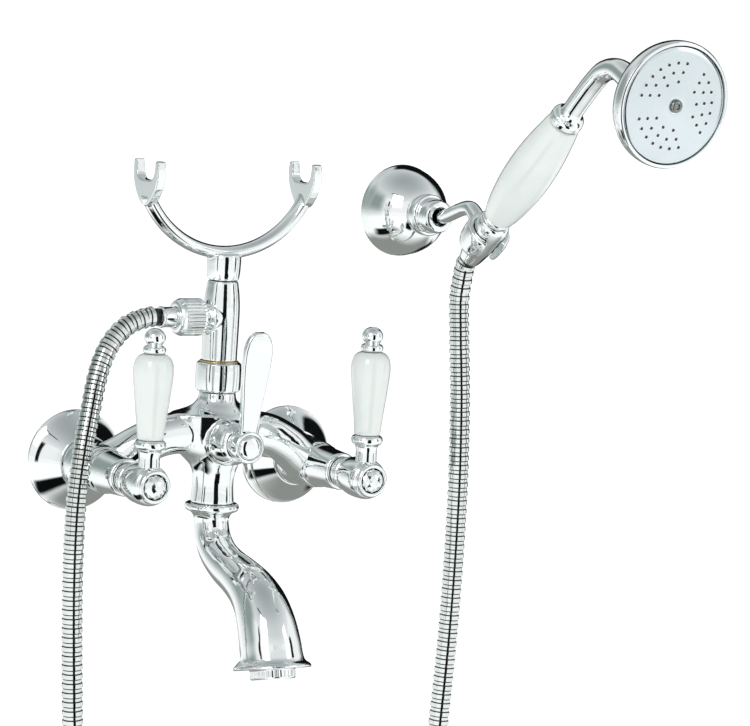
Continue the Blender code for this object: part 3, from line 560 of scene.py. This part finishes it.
for inlet, side in (("hot", -1), ("cold", 1)):
    centre, stand, body = (side * valve_x, 0, 0), (side * valve_x, stem_y, 0), inlet + "_handle"
    spun(inlet + "_lever_hub", [(7.9, 114.3), (8.3, 115.0), (9.5, 115.0), (10.1, 114.4), (10.3, 113.2),
                                (10.0, 112.2), (10.5, 111.5), (11.6, 110.2), (12.4, 107.6), (12.7, 104.0),
                                (12.7, 99.0), (12.3, 93.6), (11.4, 89.4), (10.3, 86.8), (9.9, 86.0),
                                (10.5, 85.3), (10.7, 84.0), (10.3, 82.8), (9.4, 82.0), (9.2, 81.0),
                                (9.5, 80.2), (9.4, 77.6), (8.9, 77.0), (4.1, 77.0),
                                (4.1, 100.2), (2.3, 100.2), (2.3, 106.8), (7.9, 106.8)],
         centre, outward, body, [inlet + "_hub"], edge=0.2)
    gem = faceted(inlet + "_front_crystal", [(7.5, 110.0), (7.5, 114.0), (6.2, 115.8), (4.0, 117.1),
                                             (1.8, 117.6)], centre, outward, 10)
    own(inlet + "_front_crystal", gem, crystal, body, [inlet + "_crystal"])
    spun(inlet + "_lever_collar", [(0, 81.6), (2.3, 81.6), (2.3, 27.2), (7.8, 27.2), (9.0, 26.6),
                                   (9.7, 25.2), (9.7, 23.8), (9.0, 22.3), (7.6, 21.3), (7.0, 20.4),
                                   (6.55, 18.4), (6.5, 14.0), (6.6, 10.9), (0, 10.9)], stand, (0, 0, 1),
         body, [inlet + "_lever_stem"])
    spun(inlet + "_lever_grip", [(2.7, 79.0), (6.6, 79.0), (8.6, 78.3), (10.4, 76.5), (11.6, 73.8),
                                 (12.15, 70.4), (12.1, 66.0), (11.4, 59.0), (10.4, 50.0), (9.3, 41.0),
                                 (8.4, 33.0), (8.0, 27.6), (2.7, 27.6)], stand, (0, 0, 1), body,
         [inlet + "_grip"], porcelain, "porcelain", edge=0.5)
    spun(inlet + "_ball_nut", [(0, 94.6), (2.2, 94.3), (4.3, 93.2), (5.8, 91.5), (6.5, 89.4),
                               (6.2, 87.3), (5.3, 85.7), (4.5, 84.8), (4.7, 84.2), (6.2, 83.5),
                               (6.9, 82.4), (6.9, 80.7), (6.4, 79.5), (2.7, 79.3), (2.7, 82.2), (0, 82.2)],
         stand, (0, 0, 1), body, [inlet + "_finial"], edge=0.15)

# ==== Diverter ====================================================================================
# A domed cover closes the diverter's boss. The flat lever is cast with its round hub, polished
# thin at the edges, and held by a screw under the domed front cap.
diverter_at = (0, 0, diverter_z)
spun("diverter_cover", [(4.2, 79.3), (8.6, 79.3), (10.2, 78.6), (12.2, 76.2), (13.6, 72.4), (14.3, 68.6),
                        (14.4, 66.3), (4.2, 66.3)], diverter_at, outward, "mixer", ["diverter_dome"])
blade_half = [(5.4, 0.0), (5.5, 6.0), (5.8, 12.0), (6.4, 19.0), (7.2, 27.0), (8.1, 35.0), (8.9, 43.0),
              (9.5, 50.0), (9.7, 56.0), (9.6, 61.0), (8.8, 65.6), (7.2, 69.2), (5.0, 71.6), (2.5, 72.8)]
lean = math.radians(9.0)
blade_turn = Matrix.Translation(Vector((0, -86.3, diverter_z)) * MM) @ Matrix.Rotation(
    math.radians(90) + lean, 4, "X")
blade = bmesh.new()
blade_rings = []
for inset, depth in ((1.3, -2.2), (0.45, -1.9), (0.0, -1.0), (0.0, 1.0), (0.45, 1.9), (1.3, 2.2)):
    loop = [(x - inset * min(1.0, x / 3), min(z, 72.9 - inset * 0.9)) for x, z in blade_half]
    loop = loop + [(-x, z) for x, z in reversed(loop)]
    blade_rings.append([blade.verts.new(blade_turn @ (Vector((x, z, depth)) * MM)) for x, z in loop])
for one, two in zip(blade_rings, blade_rings[1:]):
    for k in range(len(one)):
        n = (k + 1) % len(one)
        blade.faces.new((one[k], one[n], two[n], two[k]))
for ring in (blade_rings[0], blade_rings[-1]):
    for k in range(len(ring) // 2 - 1):
        far = len(ring) - 1 - k
        blade.faces.new((ring[k], ring[k + 1], ring[far - 1], ring[far]))
lever = bmesh.new()
lever.from_mesh(smooth_mesh("blade", blade))
lever.from_mesh(spun_mesh("lever_hub", [(7.9, 92.2), (9.2, 92.2), (9.8, 91.6), (10.0, 90.6), (10.0, 84.2),
                                        (9.6, 82.6), (8.6, 80.6), (4.1, 80.2), (4.1, 87.6), (7.9, 87.6)],
                          diverter_at, outward))
lever_mesh = bpy.data.meshes.new("diverter_paddle")
lever.to_mesh(lever_mesh)
lever.free()
own("diverter_paddle", lever_mesh, chrome, "diverter_handle", ["diverter_lever"])
spun("diverter_front_cap", [(0, 94.6), (3.0, 94.5), (5.4, 94.0), (7.0, 93.0), (7.6, 91.6), (7.6, 90.4),
                            (0, 90.4)], diverter_at, outward, "diverter_handle", ["diverter_cap"])

# ==== Column ======================================================================================
# The shower column screws to the body with a smooth collar nut over a thin bearing ring. It is a
# slightly barrelled tube with a short branch on its left for the hose.
column_at, outlet_at = (0, column_y, 0), (0, column_y, 94.3)
spun("column_nut", [(10.8, 66.2), (12.9, 66.2), (13.8, 65.5), (13.95, 64.4), (13.95, 50.2), (13.7, 49.0),
                    (12.9, 48.2), (10.8, 48.2)], column_at, (0, 0, 1), "mixer", ["collar_nut"])
own("bearing_ring", spun_mesh("bearing_ring", [(10.75, 67.25), (12.0, 67.25), (12.2, 66.85),
                                               (12.0, 66.45), (10.75, 66.45)], column_at), brass, "mixer",
    ["column_ring"])
stem = [spun_mesh("stem", [(0, 116.9), (8.9, 116.9), (9.4, 116.2), (9.9, 113.4), (10.6, 108.8),
                           (11.1, 103.0), (11.3, 97.0), (11.3, 91.0), (11.2, 82.0), (11.05, 73.0),
                           (11.0, 67.6), (10.4, 67.5), (10.4, 58.7), (0, 58.7)], column_at),
        spun_mesh("branch", [(0, 14.0), (7.0, 14.0), (7.0, 13.2), (7.7, 12.0), (9.0, 10.4), (10.3, 9.0),
                             (10.5, 5.0), (0, 5.0)], outlet_at, (-1, 0, 0))]
own("shower_column", fused("shower_column", stem, 0.45, 4), chrome, "mixer", ["riser_column"])

# ==== Hose connection =============================================================================
# A knurled coupling nut holds the hose on the column's branch. Behind it a plain plated ferrule is
# pressed over the hose's end.
spun("coupling_nut", [(6.6, 32.4), (8.8, 32.4), (9.9, 31.8), (11.4, 29.2), (11.7, 28.4), (11.7, 27.2),
                      (11.7, 18.0), (11.7, 16.4), (11.6, 15.2), (10.4, 14.4), (8.7, 14.4), (8.7, 28.0),
                      (6.6, 28.0)], outlet_at, (-1, 0, 0), "mixer", ["hose_nut"], sides=168, edge=0.2,
     flutes=(28, 0.6, 15.0, 28.8, 11.3))
outlet_tail = spun("hose_tail", [(6.5, 43.1), (6.7, 42.6), (6.7, 41.4), (6.3, 41.0), (6.3, 33.6),
                                 (6.25, 27.6), (8.3, 27.6), (8.3, 25.5), (4.2, 25.5), (4.2, 43.1)],
                   outlet_at, (-1, 0, 0), "mixer", ["outlet_ferrule"], edge=0.12)

# ==== Cradle ======================================================================================
# The telephone cradle turns on top of the column. It is one forging: a waisted neck, a flat
# half-round fork and a small U-shaped rest at each end for the hand shower's handle.
fork_r, fork_z, yoke_x = 61.0, 195.5, 54.3
reach = math.radians(64)
arc = [(fork_r * math.sin(reach * (k / 30 - 1)), column_y, fork_z - fork_r * math.cos(reach * (k / 30 - 1)))
       for k in range(61)]
fork = [spun_mesh("neck", [(0, 133.6), (10.0, 133.6), (10.5, 131.5), (10.5, 126.0), (10.2, 121.5),
                           (9.5, 118.0), (9.0, 117.35), (0, 117.35)], column_at),
        swept_mesh("arms", arc, [4.1] * 61, 32, (1.0, 1.45, 1.0))]


def yoke(side):
    """One U-shaped rest: a lobed plate with a rounded notch, thicker below."""
    outer = [(16.0, 190.4), (16.55, 187.0), (16.6, 183.0), (15.9, 178.4), (14.0, 173.8), (11.0, 169.6),
             (7.6, 165.8), (4.0, 163.4)]
    inner = [(12.6, 191.0), (12.0, 186.4), (11.6, 183.2), (10.4, 180.8), (8.2, 179.2), (5.0, 178.6)]
    outline = inner[::-1] + outer
    shape = bmesh.new()
    for across in (-1, 1):
        faces = []
        for depth, inset in ((-2.9, 0.5), (-2.3, 0.0), (2.3, 0.0), (2.9, 0.5)):
            faces.append([shape.verts.new(Vector((side * yoke_x + depth, column_y + across * y, z)) * MM)
                          for y, z in [(0.0, 178.6), *outline, (0.0, 163.0)]])
        for one, two in zip(faces, faces[1:]):
            for k in range(len(one) - 1):
                shape.faces.new((one[k], one[k + 1], two[k + 1], two[k]))
        shape.faces.new(faces[0])
        shape.faces.new(faces[-1])
    bmesh.ops.remove_doubles(shape, verts=shape.verts, dist=0.00001)
    return smooth_mesh("yoke", shape)


fork += [yoke(-1), yoke(1)]
own("cradle", fused("cradle", fork, 0.5, 5), chrome, "cradle", ["cradle_fork"])

# ==== Spout =======================================================================================
# The swan-necked spout is cast hollow and turns in the body's foot under a thin flange. It swells
# towards its bell mouth, which holds a knurled aerator ring round a plastic mesh insert.
spout_tip, spout_aim = Vector((0.0, -134.4, -110.0)), Vector((0.0, -0.22, -0.9755)).normalized()
swan = [(0, -46.0, -29.0), (0, -46.8, -36.0), (0, -50.0, -44.5), (0, -58.5, -52.3), (0, -72.0, -58.0),
        (0, -88.0, -62.0), (0, -103.0, -67.0), (0, -115.5, -74.5), (0, -124.0, -84.5),
        (0, -129.6, -95.0)]
girth = [10.7, 10.8, 11.3, 11.7, 12.5, 13.5, 14.9, 16.5, 17.9, 18.8]
mouth = [(7.0, 19.3), (4.6, 20.7), (2.4, 23.2), (1.0, 24.1), (0.2, 24.1), (0.0, 23.4)]
swan += [tuple(spout_tip - spout_aim * back_by) for back_by, _ in mouth]
girth += [radius for _, radius in mouth]
knots = [Vector((*p[1:], r)) for p, r in zip(swan, girth)]
fine = length_points(knots, 1.6)
horn = swept_mesh("horn", [(0, p.x, p.y) for p in fine], [p.z for p in fine], 64)
flange = spun_mesh("flange", [(0, -14.0), (9.6, -14.0), (9.6, -22.3), (16.0, -22.3), (16.8, -22.9),
                              (17.0, -24.0), (16.9, -25.4), (16.0, -26.6), (13.6, -27.8), (11.6, -30.0),
                              (10.8, -34.0), (0, -36.0)], column_at)
own("swan_spout", fused("swan_spout", [horn, flange], 0.6, 3), chrome, "spout", ["spout"])
spun("aerator_ring", [(11.4, 6.2), (13.2, 6.2), (13.7, 5.4), (13.8, 4.6), (13.8, 0.6), (14.2, 0.2),
                      (14.2, -7.0), (11.4, -7.0)], tuple(spout_tip), tuple(spout_aim), "spout",
     ["aerator_housing"], sides=160, edge=0.2, flutes=(40, 0.35, 0.8, 5.0, 13.5))


def moulded(name, shade, light, rough, grain):
    """Moulded plastic or rubber with a fine even texture."""
    made, tree, shader, place = blank(name)
    fine_grain = node(tree, "ShaderNodeTexNoise", {}, {"Vector": place, "Scale": grain, "Detail": 3.0})
    broad = node(tree, "ShaderNodeTexNoise", {}, {"Vector": place, "Scale": 70.0, "Detail": 3.0})
    colour = node(tree, "ShaderNodeMix", {"data_type": "RGBA"}, {
        0: broad, 6: (*shade, 1.0), 7: (*light, 1.0)}, 2)
    pits = node(tree, "ShaderNodeBump", {}, {"Strength": 0.2, "Distance": 0.0002, "Height": fine_grain})
    plug(shader, {"Base Color": colour, "Roughness": rough + fine_grain * 0.15, "Normal": pits})
    return made


plastic = moulded("white_plastic", (0.70, 0.72, 0.72), (0.84, 0.85, 0.85), 0.35, 800.0)
rubber = moulded("black_rubber", (0.015, 0.015, 0.016), (0.05, 0.05, 0.052), 0.6, 600.0)

# ==== Wall bracket ================================================================================
# A bell-shaped flange covers a wall plate and its two screws. A ringed socket nut on its front
# clamps the ball of a bent arm, whose end is a slotted conical ring for the hand shower.
steel = metal("bright_steel", (0.60, 0.61, 0.62), (0.80, 0.81, 0.82), 0.14, 0.2, 1100.0, 0.08)
bracket_at = (152.2, 0, 158.3)
spun("bracket_flange", [(10.0, 30.0), (12.6, 30.0), (13.4, 29.6), (15.6, 28.2), (19.4, 24.9), (23.0, 20.8),
                        (25.9, 15.6), (27.9, 9.8), (29.0, 4.4), (29.6, 1.6), (29.7, 0.05), (28.2, 0.05),
                        (27.4, 4.8), (25.3, 12.8), (21.5, 20.0), (16.6, 25.2), (10.0, 28.4)],
     bracket_at, outward, "mixer", ["bracket_rosette"], sides=96)
spun("socket_nut", [(6.2, 50.4), (8.4, 50.4), (9.5, 50.0), (10.3, 48.6), (10.8, 46.4), (10.9, 42.0),
                    (11.0, 39.6), (11.6, 38.8), (12.7, 38.4), (13.3, 37.4), (13.1, 36.3), (13.3, 35.4),
                    (13.3, 32.4), (13.0, 31.0), (12.2, 30.3), (8.8, 30.3), (8.8, 35.2), (7.1, 36.0),
                    (7.1, 46.8)], bracket_at, outward, "mixer", ["bracket_collar"])
ball = Vector((152.2, -42.0, 158.3))
strut_line = length_points([ball, (152.2, -53.0, 158.8), (152.2, -62.0, 161.2), (152.2, -72.0, 164.6),
                            (152.2, -80.5, 166.8), (152.2, -87.0, 166.8), (152.2, -92.4, 163.6),
                            (152.2, -95.0, 160.0)], 1.0)
strut_r = [4.4 + 0.8 * max(0.0, k / (len(strut_line) - 1) - 0.6) / 0.4 for k in range(len(strut_line))]
strut = swept_mesh("strut", strut_line, strut_r, 40)
knob = spun_mesh("knob", [(0, 6.6)] + [(6.6 * math.sin(a), 6.6 * math.cos(a)) for a in
                                       (math.pi * k / 12 for k in range(1, 12))] + [(0, -6.6)], tuple(ball))
slot_gap = math.asin(6.0 / 12.5)


def slotted_ring(name, rows, at, along, gap_way, gap, sides=84):
    """A ring with a gap in its side: the closed profile swept most of the way round the axis."""
    side_way = Vector(along).cross(gap_way).normalized()
    shape = bmesh.new()
    slices = []
    for k in range(sides + 1):
        angle = gap + (2 * math.pi - 2 * gap) * k / sides
        way = gap_way * math.cos(angle) + side_way * math.sin(angle)
        slices.append([shape.verts.new((Vector(at) + way * r + Vector(along) * z) * MM) for r, z in rows])
    for one, two in zip(slices, slices[1:]):
        for j in range(len(rows)):
            n = (j + 1) % len(rows)
            shape.faces.new((one[j], one[n], two[n], two[j]))
    shape.faces.new(slices[0])
    shape.faces.new(slices[-1])
    return smooth_mesh(name, shape)


ring_rows, _ = softened([(10.96, 8.0), (13.2, 8.0), (14.0, 7.4), (14.3, 6.3), (14.3, -3.0), (13.9, -6.0),
                         (13.2, -8.4), (12.4, -9.3), (9.65, -9.3)], 0.3)
gap_way = Vector((1.0, 0.0, 0.0)).cross(hand_way)
ring = slotted_ring("ring", ring_rows, clamp_centre, hand_way, gap_way, slot_gap)
own("holder", fused("holder", [ring, strut, knob], 0.4, 3), chrome, "mixer", ["holder_arm"])

# ==== Hand shower =================================================================================
# The cone nut seats in the holder. Above it come the plated inlet collar, the white glazed handle,
# the bent neck with its collar, and the spun head, whose spray plate is slightly crowned and held by
# one screw.
grip_at, hand_dir = tuple(clamp_centre), tuple(hand_way)
face_tilt = math.radians(8.6)
face_at, face_out = (152.2, -301.3, 245.6), (0.0, -math.cos(face_tilt), -math.sin(face_tilt))
spun("cone_seat_nut", [(8.0, 16.8), (8.9, 16.8), (9.7, 16.2), (10.3, 14.4), (10.5, 12.0), (10.5, 9.0),
                       (9.9, 0.0), (9.2, -8.4), (8.4, -13.2), (7.5, -18.4), (6.9, -20.9), (5.6, -20.9),
                       (5.6, -1.0), (8.0, -1.0)], grip_at, hand_dir, "handset", ["cone_nut"])
spun("inlet_collar", [(5.4, 20.7), (8.6, 20.7), (9.1, 20.1), (9.2, 19.0), (9.1, 17.8), (8.6, 17.1),
                      (7.6, 17.1), (7.6, 2.9), (4.0, 2.9), (4.0, 11.6), (5.4, 11.6)], grip_at, hand_dir,
     "handset", ["handset_inlet"])
spun("white_handle", [(5.5, 113.7), (9.2, 113.7), (10.2, 113.2), (10.9, 110.4), (11.9, 104.0),
                      (13.1, 95.0), (14.2, 84.0), (14.8, 73.0), (14.9, 63.0), (14.4, 52.0), (13.3, 40.5),
                      (11.7, 30.0), (10.2, 23.6), (9.5, 21.6), (8.7, 21.0), (5.5, 21.0)], grip_at, hand_dir,
     "handset", ["handset_grip"], porcelain, "porcelain", edge=0.4, sides=96)
start = clamp_centre + hand_way * 122.0
meet = Vector(face_at) - Vector(face_out) * 30.0
bend = length_points([start, start + hand_way * 14.0, (152.2, -216.5, 254.5), (152.2, -227.5, 261.5),
                      (152.2, -241.0, 263.0), (152.2, -256.0, 257.5), meet], 1.5)
bend_r = [6.5 + 2.2 * max(0.0, k / (len(bend) - 1) - 0.6) / 0.4 for k in range(len(bend))]
neck = [swept_mesh("goose", bend, bend_r, 48),
        spun_mesh("neck_collar", [(0, 126.0), (6.6, 126.0), (6.9, 123.6), (7.8, 121.8), (9.4, 120.6),
                                  (10.3, 119.2), (10.4, 117.4), (10.4, 115.4), (9.9, 114.2), (5.1, 114.1),
                                  (5.1, 12.0), (0, 12.0)], grip_at, hand_dir)]
own("bent_neck", fused("bent_neck", neck, 0.5, 4), chrome, "handset", ["handset_neck"])
spun("spun_head", [(35.2, 0.0), (36.2, 0.0), (37.0, -0.3), (37.5, -1.6), (37.6, -3.4), (37.3, -6.4),
                   (36.2, -9.8), (34.0, -13.2), (30.2, -17.6), (25.4, -21.8), (20.0, -25.4), (15.0, -28.0),
                   (11.6, -29.4), (9.4, -30.3), (9.4, -25.6), (20.5, -21.6), (27.0, -17.4), (31.8, -12.8),
                   (34.4, -7.2), (34.9, -2.4)], face_at, face_out, "handset", ["head_shell"], sides=120)
plate = spun_mesh("spray_face", [(3.2, -2.2), (3.2, 0.75), (4.2, 1.1), (10.0, 1.05), (16.0, 0.9),
                                 (22.0, 0.6), (28.0, 0.1), (33.0, -0.3), (34.2, -0.7), (34.5, -1.5),
                                 (34.0, -3.2)], face_at, face_out, sides=120, edge=0.15)
tip_mesh = spun_mesh("jet_rim", [(0.94, 0.05), (1.0, 0.2), (1.15, 0.22), (1.3, 0.1), (1.35, -0.2),
                                 (0.9, -0.2)], (0, 0, 0), (0, 0, 1), 14, 0.05)
hole_mesh = spun_mesh("jet_hole", [(0, 0.14), (0.98, 0.14), (0.98, -0.1), (0, -0.1)], (0, 0, 0), (0, 0, 1),
                      14, 0.02)
plate_turn = Matrix.Translation(Vector(face_at) * MM) @ Vector((0, 0, 1)).rotation_difference(
    Vector(face_out)).to_matrix().to_4x4()
plate_crown, plate_fall = 1.1, 0.00115
jet_clusters, jet_rows = (124, 6, 242), ((14.2, 3, 31), (19.8, 5, 39), (25.2, 7, 43))
jets = []
for cluster in jet_clusters:
    for radius, count, spread in jet_rows:
        for k in range(count):
            angle = math.radians(cluster + spread * (2 * k / (count - 1) - 1))
            height = plate_crown - plate_fall * radius ** 2
            jets.append(plate_turn @ (Vector((radius * math.cos(angle), radius * math.sin(angle),
                                              height)) * MM))
jet_tilt = [plate_turn.to_euler()] * len(jets)
own("spray_face", plate, metal("satin_plate", (0.58, 0.65, 0.67), (0.70, 0.76, 0.78), 0.12, 0.12),
    "handset", ["spray_plate"])
own("spray_jet_rims", repeated("spray_jet_rims", jets, jet_tilt, tip_mesh, chrome), chrome, "handset",
    ["spray_plate"])
own("spray_jet_holes", repeated("spray_jet_holes", jets, jet_tilt, hole_mesh, rubber), rubber, "handset",
    ["spray_plate"])
face_screw = spun_mesh("face_screw", [(0, 1.9), (1.5, 1.9), (1.7, 3.2), (2.3, 3.2), (3.1, 2.9), (3.8, 2.1),
                                      (3.9, 1.3), (3.9, 0.9), (0, 0.9)], face_at, face_out)
own("face_screw", face_screw, metal("dull_screw", (0.10, 0.11, 0.10), (0.34, 0.36, 0.34), 0.15, 0.2),
    "handset", ["spray_screw"])

# ==== Pieces out of sight =========================================================================
# The unions, cartridges, spindles, screws, washers and the bracket's plate are plain turned parts.
# They keep their shapes, and get brass, steel, rubber or plastic with the marks of their making. The
# valve cartridges get brass painted nearly black: painted shade for the dark inside the valve tubes.
# Brass painted nearly black: painted shade for the cartridges inside the valve tubes.
cartridge_painted_shade = metal("brass_painted_shade", (0.02, 0.018, 0.016), (0.06, 0.05, 0.04), 0.4, 0.3)
looks = {"chrome": chrome, "brass": brass, "steel": steel, "rubber": rubber, "plastic": plastic,
         "porcelain": porcelain, "crystal": crystal}
for row in frame["record"]["subparts"]:
    part = frame["nodes"][row["node"]]
    if not part.hide_render:
        for place in part.material_slots:
            place.material = looks[row["material_slot"]]
        # The cartridges get the near-black brass, painted shade for the inside of the valve tubes.
        if row["node"] in ("hot_cartridge", "cold_cartridge"):
            part.material_slots[0].material = cartridge_painted_shade

[tuple(p * MM) for p in hose_line]

# ==== Floor and light =============================================================================
# A wide pale floor and white surroundings, one large soft lamp high on the left, a smaller one on
# the right, grey boards behind, and dark boards that give the plated surfaces their black lines.
floor_data = bpy.data.meshes.new("floor")
floor_z, floor_reach = -0.47, 30.0
floor_data.from_pydata([(x * floor_reach, y * floor_reach, floor_z) for x, y in (
    (-1, -1), (1, -1), (1, 1), (-1, 1))], [], [(0, 1, 2, 3)])
floor = placed("floor", floor_data)
floor_paint, _, floor_shader, _ = blank("pale_floor")
plug(floor_shader, {"Base Color": (0.9, 0.9, 0.9, 1.0), "Roughness": 0.9,
                    "Emission Color": (1.0, 1.0, 1.0, 1.0), "Emission Strength": 0.42})
floor_data.materials.append(floor_paint)
wall_shape = bmesh.new()
wall_r, wall_height = 16.0, 10.0
bmesh.ops.create_cone(wall_shape, cap_ends=False, segments=64, radius1=wall_r, radius2=wall_r,
                      depth=wall_height)
wall_data = bpy.data.meshes.new("round_backdrop")
wall_shape.to_mesh(wall_data)
wall_shape.free()
backdrop = placed("round_backdrop", wall_data)
backdrop.location.z = wall_height / 2 - 0.5
backdrop_paint, _, backdrop_shader, _ = blank("pale_backdrop")
plug(backdrop_shader, {"Base Color": (0.05, 0.05, 0.05, 1.0), "Roughness": 1.0,
                       "Emission Color": (1.0, 1.0, 1.0, 1.0), "Emission Strength": 0.97})
wall_data.materials.append(backdrop_paint)


def board(name, corners, shade, soft=0.3):
    """A flag round the fitting, seen only in reflections, of one even shade that fades at its edges."""
    made_mesh = bpy.data.meshes.new(name)
    made_mesh.from_pydata(corners, [], [(0, 1, 2, 3)])
    square = made_mesh.uv_layers.new(name="square")
    for loop, corner in zip(square.data, ((0, 0), (1, 0), (1, 1), (0, 1))):
        loop.uv = corner
    made = placed(name, made_mesh)
    paint, tree, shader, _ = blank(name + "_paint")
    across = node(tree, "ShaderNodeSeparateXYZ", {}, {0: node(tree, "ShaderNodeTexCoord", output=2)})
    upward = Sock(tree, across.socket.node.outputs[1])
    edges = []
    for share in (across, upward):
        near = node(tree, "ShaderNodeMath", {"operation": "ABSOLUTE"}, {0: share - 0.5})
        edges.append(node(tree, "ShaderNodeMapRange", {"interpolation_type": "SMOOTHSTEP"},
                          {0: near, 1: 0.5, 2: 0.5 - soft / 2, 3: 0.0, 4: 1.0}))
    plug(shader, {"Base Color": (0.0, 0.0, 0.0, 1.0), "Roughness": 1.0, "Specular IOR Level": 0.0,
                  "Emission Color": (*shade, 1.0), "Emission Strength": 1.0,
                  "Alpha": edges[0] * edges[1]})
    made_mesh.materials.append(paint)
    made.visible_camera = False
    made.visible_diffuse = False
    made.visible_shadow = False


def upright_board(name, azimuth, width, low, high, shade=(0.006, 0.007, 0.007), radius=2.0, soft=0.3):
    """A board standing round the fitting. Azimuth 0 is in front of it and the width is in degrees."""
    angle, half = math.radians(azimuth), math.radians(width / 2)
    board(name, [(0.05 + radius * math.sin(angle + side * half),
                  -0.1 - radius * math.cos(angle + side * half), height)
                 for side, height in ((-1, low), (1, low), (1, high), (-1, high))], shade, soft)


grey, black = (0.30, 0.36, 0.35), (0.004, 0.005, 0.005)
for place, azimuth in enumerate((118, 165, 212, 247)):
    upright_board("grey_" + str(place), azimuth, 62, -0.6, 2.4, grey, 2.4 + 0.1 * place, 0.8)
for name, azimuth, width, low, high in (
        ("dark_right", 112, 9, 0.35, 1.5), ("dark_side", 58, 12, -0.4, 1.1),
        ("dark_left", -74, 7, -0.4, 1.2), ("thin_high", -67, 30, 2.1, 2.25)):
    upright_board(name, azimuth, width, low, high)
upright_board("dark_behind", 138, 74, -0.6, 1.8, black, 2.1, 0.35)
upright_board("dark_front", -9.5, 27, -0.8, 1.1, soft=0.15)
for name, shade, height, soft, corners in (
        ("dark_front_floor", black, 0.008, 0.15, ((-0.16, -0.5), (0.12, -0.5), (0.3, -2.1), (-0.82, -2.1))),
        ("dark_under_left", black, 0.008, 0.5, ((-0.62, -0.5), (-0.2, -0.5), (-0.2, 0.6), (-0.62, 0.6))),
        ("grey_under", (0.30, 0.31, 0.29), 0.005, 0.4, ((-0.4, -0.35), (0.9, -0.35), (1.3, 1.8),
                                                        (-0.4, 1.8))),
        ("dark_under_right", black, 0.008, 0.5, ((0.55, 0.2), (1.1, 0.2), (1.6, 1.5), (0.9, 1.5)))):
    board(name, [(x, y, floor_z + height) for x, y in corners], shade, soft)


def lamp(name, centre, size, power):
    """A soft rectangular lamp that faces the fitting."""
    made_data = bpy.data.lights.new(name, "AREA")
    made_data.shape = "RECTANGLE"
    made_data.size, made_data.size_y = size
    made_data.energy = power
    made = placed(name, made_data)
    to_object = Vector((0.05, -0.08, 0.05)) - Vector(centre)
    made.matrix_world = Matrix.Translation(centre) @ to_object.to_track_quat("-Z", "Y").to_matrix().to_4x4()


lamp("key_lamp", (-1.9, -1.5, 1.5), (1.0, 1.6), 13.0)
lamp("fill_lamp", (1.6, -1.9, 0.9), (0.6, 1.6), 3.0)

surround = bpy.data.worlds.new("white_surround")
surround.use_nodes = True
bpy.context.scene.world = surround
sky = surround.node_tree
sky_place = node(sky, "ShaderNodeTexCoord", output=0)
sky_height = node(sky, "ShaderNodeSeparateXYZ", {}, {0: sky_place}, 2)
sky_tone = node(sky, "ShaderNodeValToRGB", {"ramp": [(0.0, (1.0, 1.0, 1.0)), (1.0, (0.42, 0.45, 0.46)),
                                                      (0.75, (0.97, 0.98, 0.98)), (0.9, (0.62, 0.65, 0.66))]},
                {0: sky_height * 0.5 + 0.5})
sky.links.new(sky_tone.socket, sky.nodes["Background"].inputs["Color"])
sky.nodes["Background"].inputs["Strength"].default_value = 0.95
bpy.context.scene.view_settings.view_transform = "Standard"
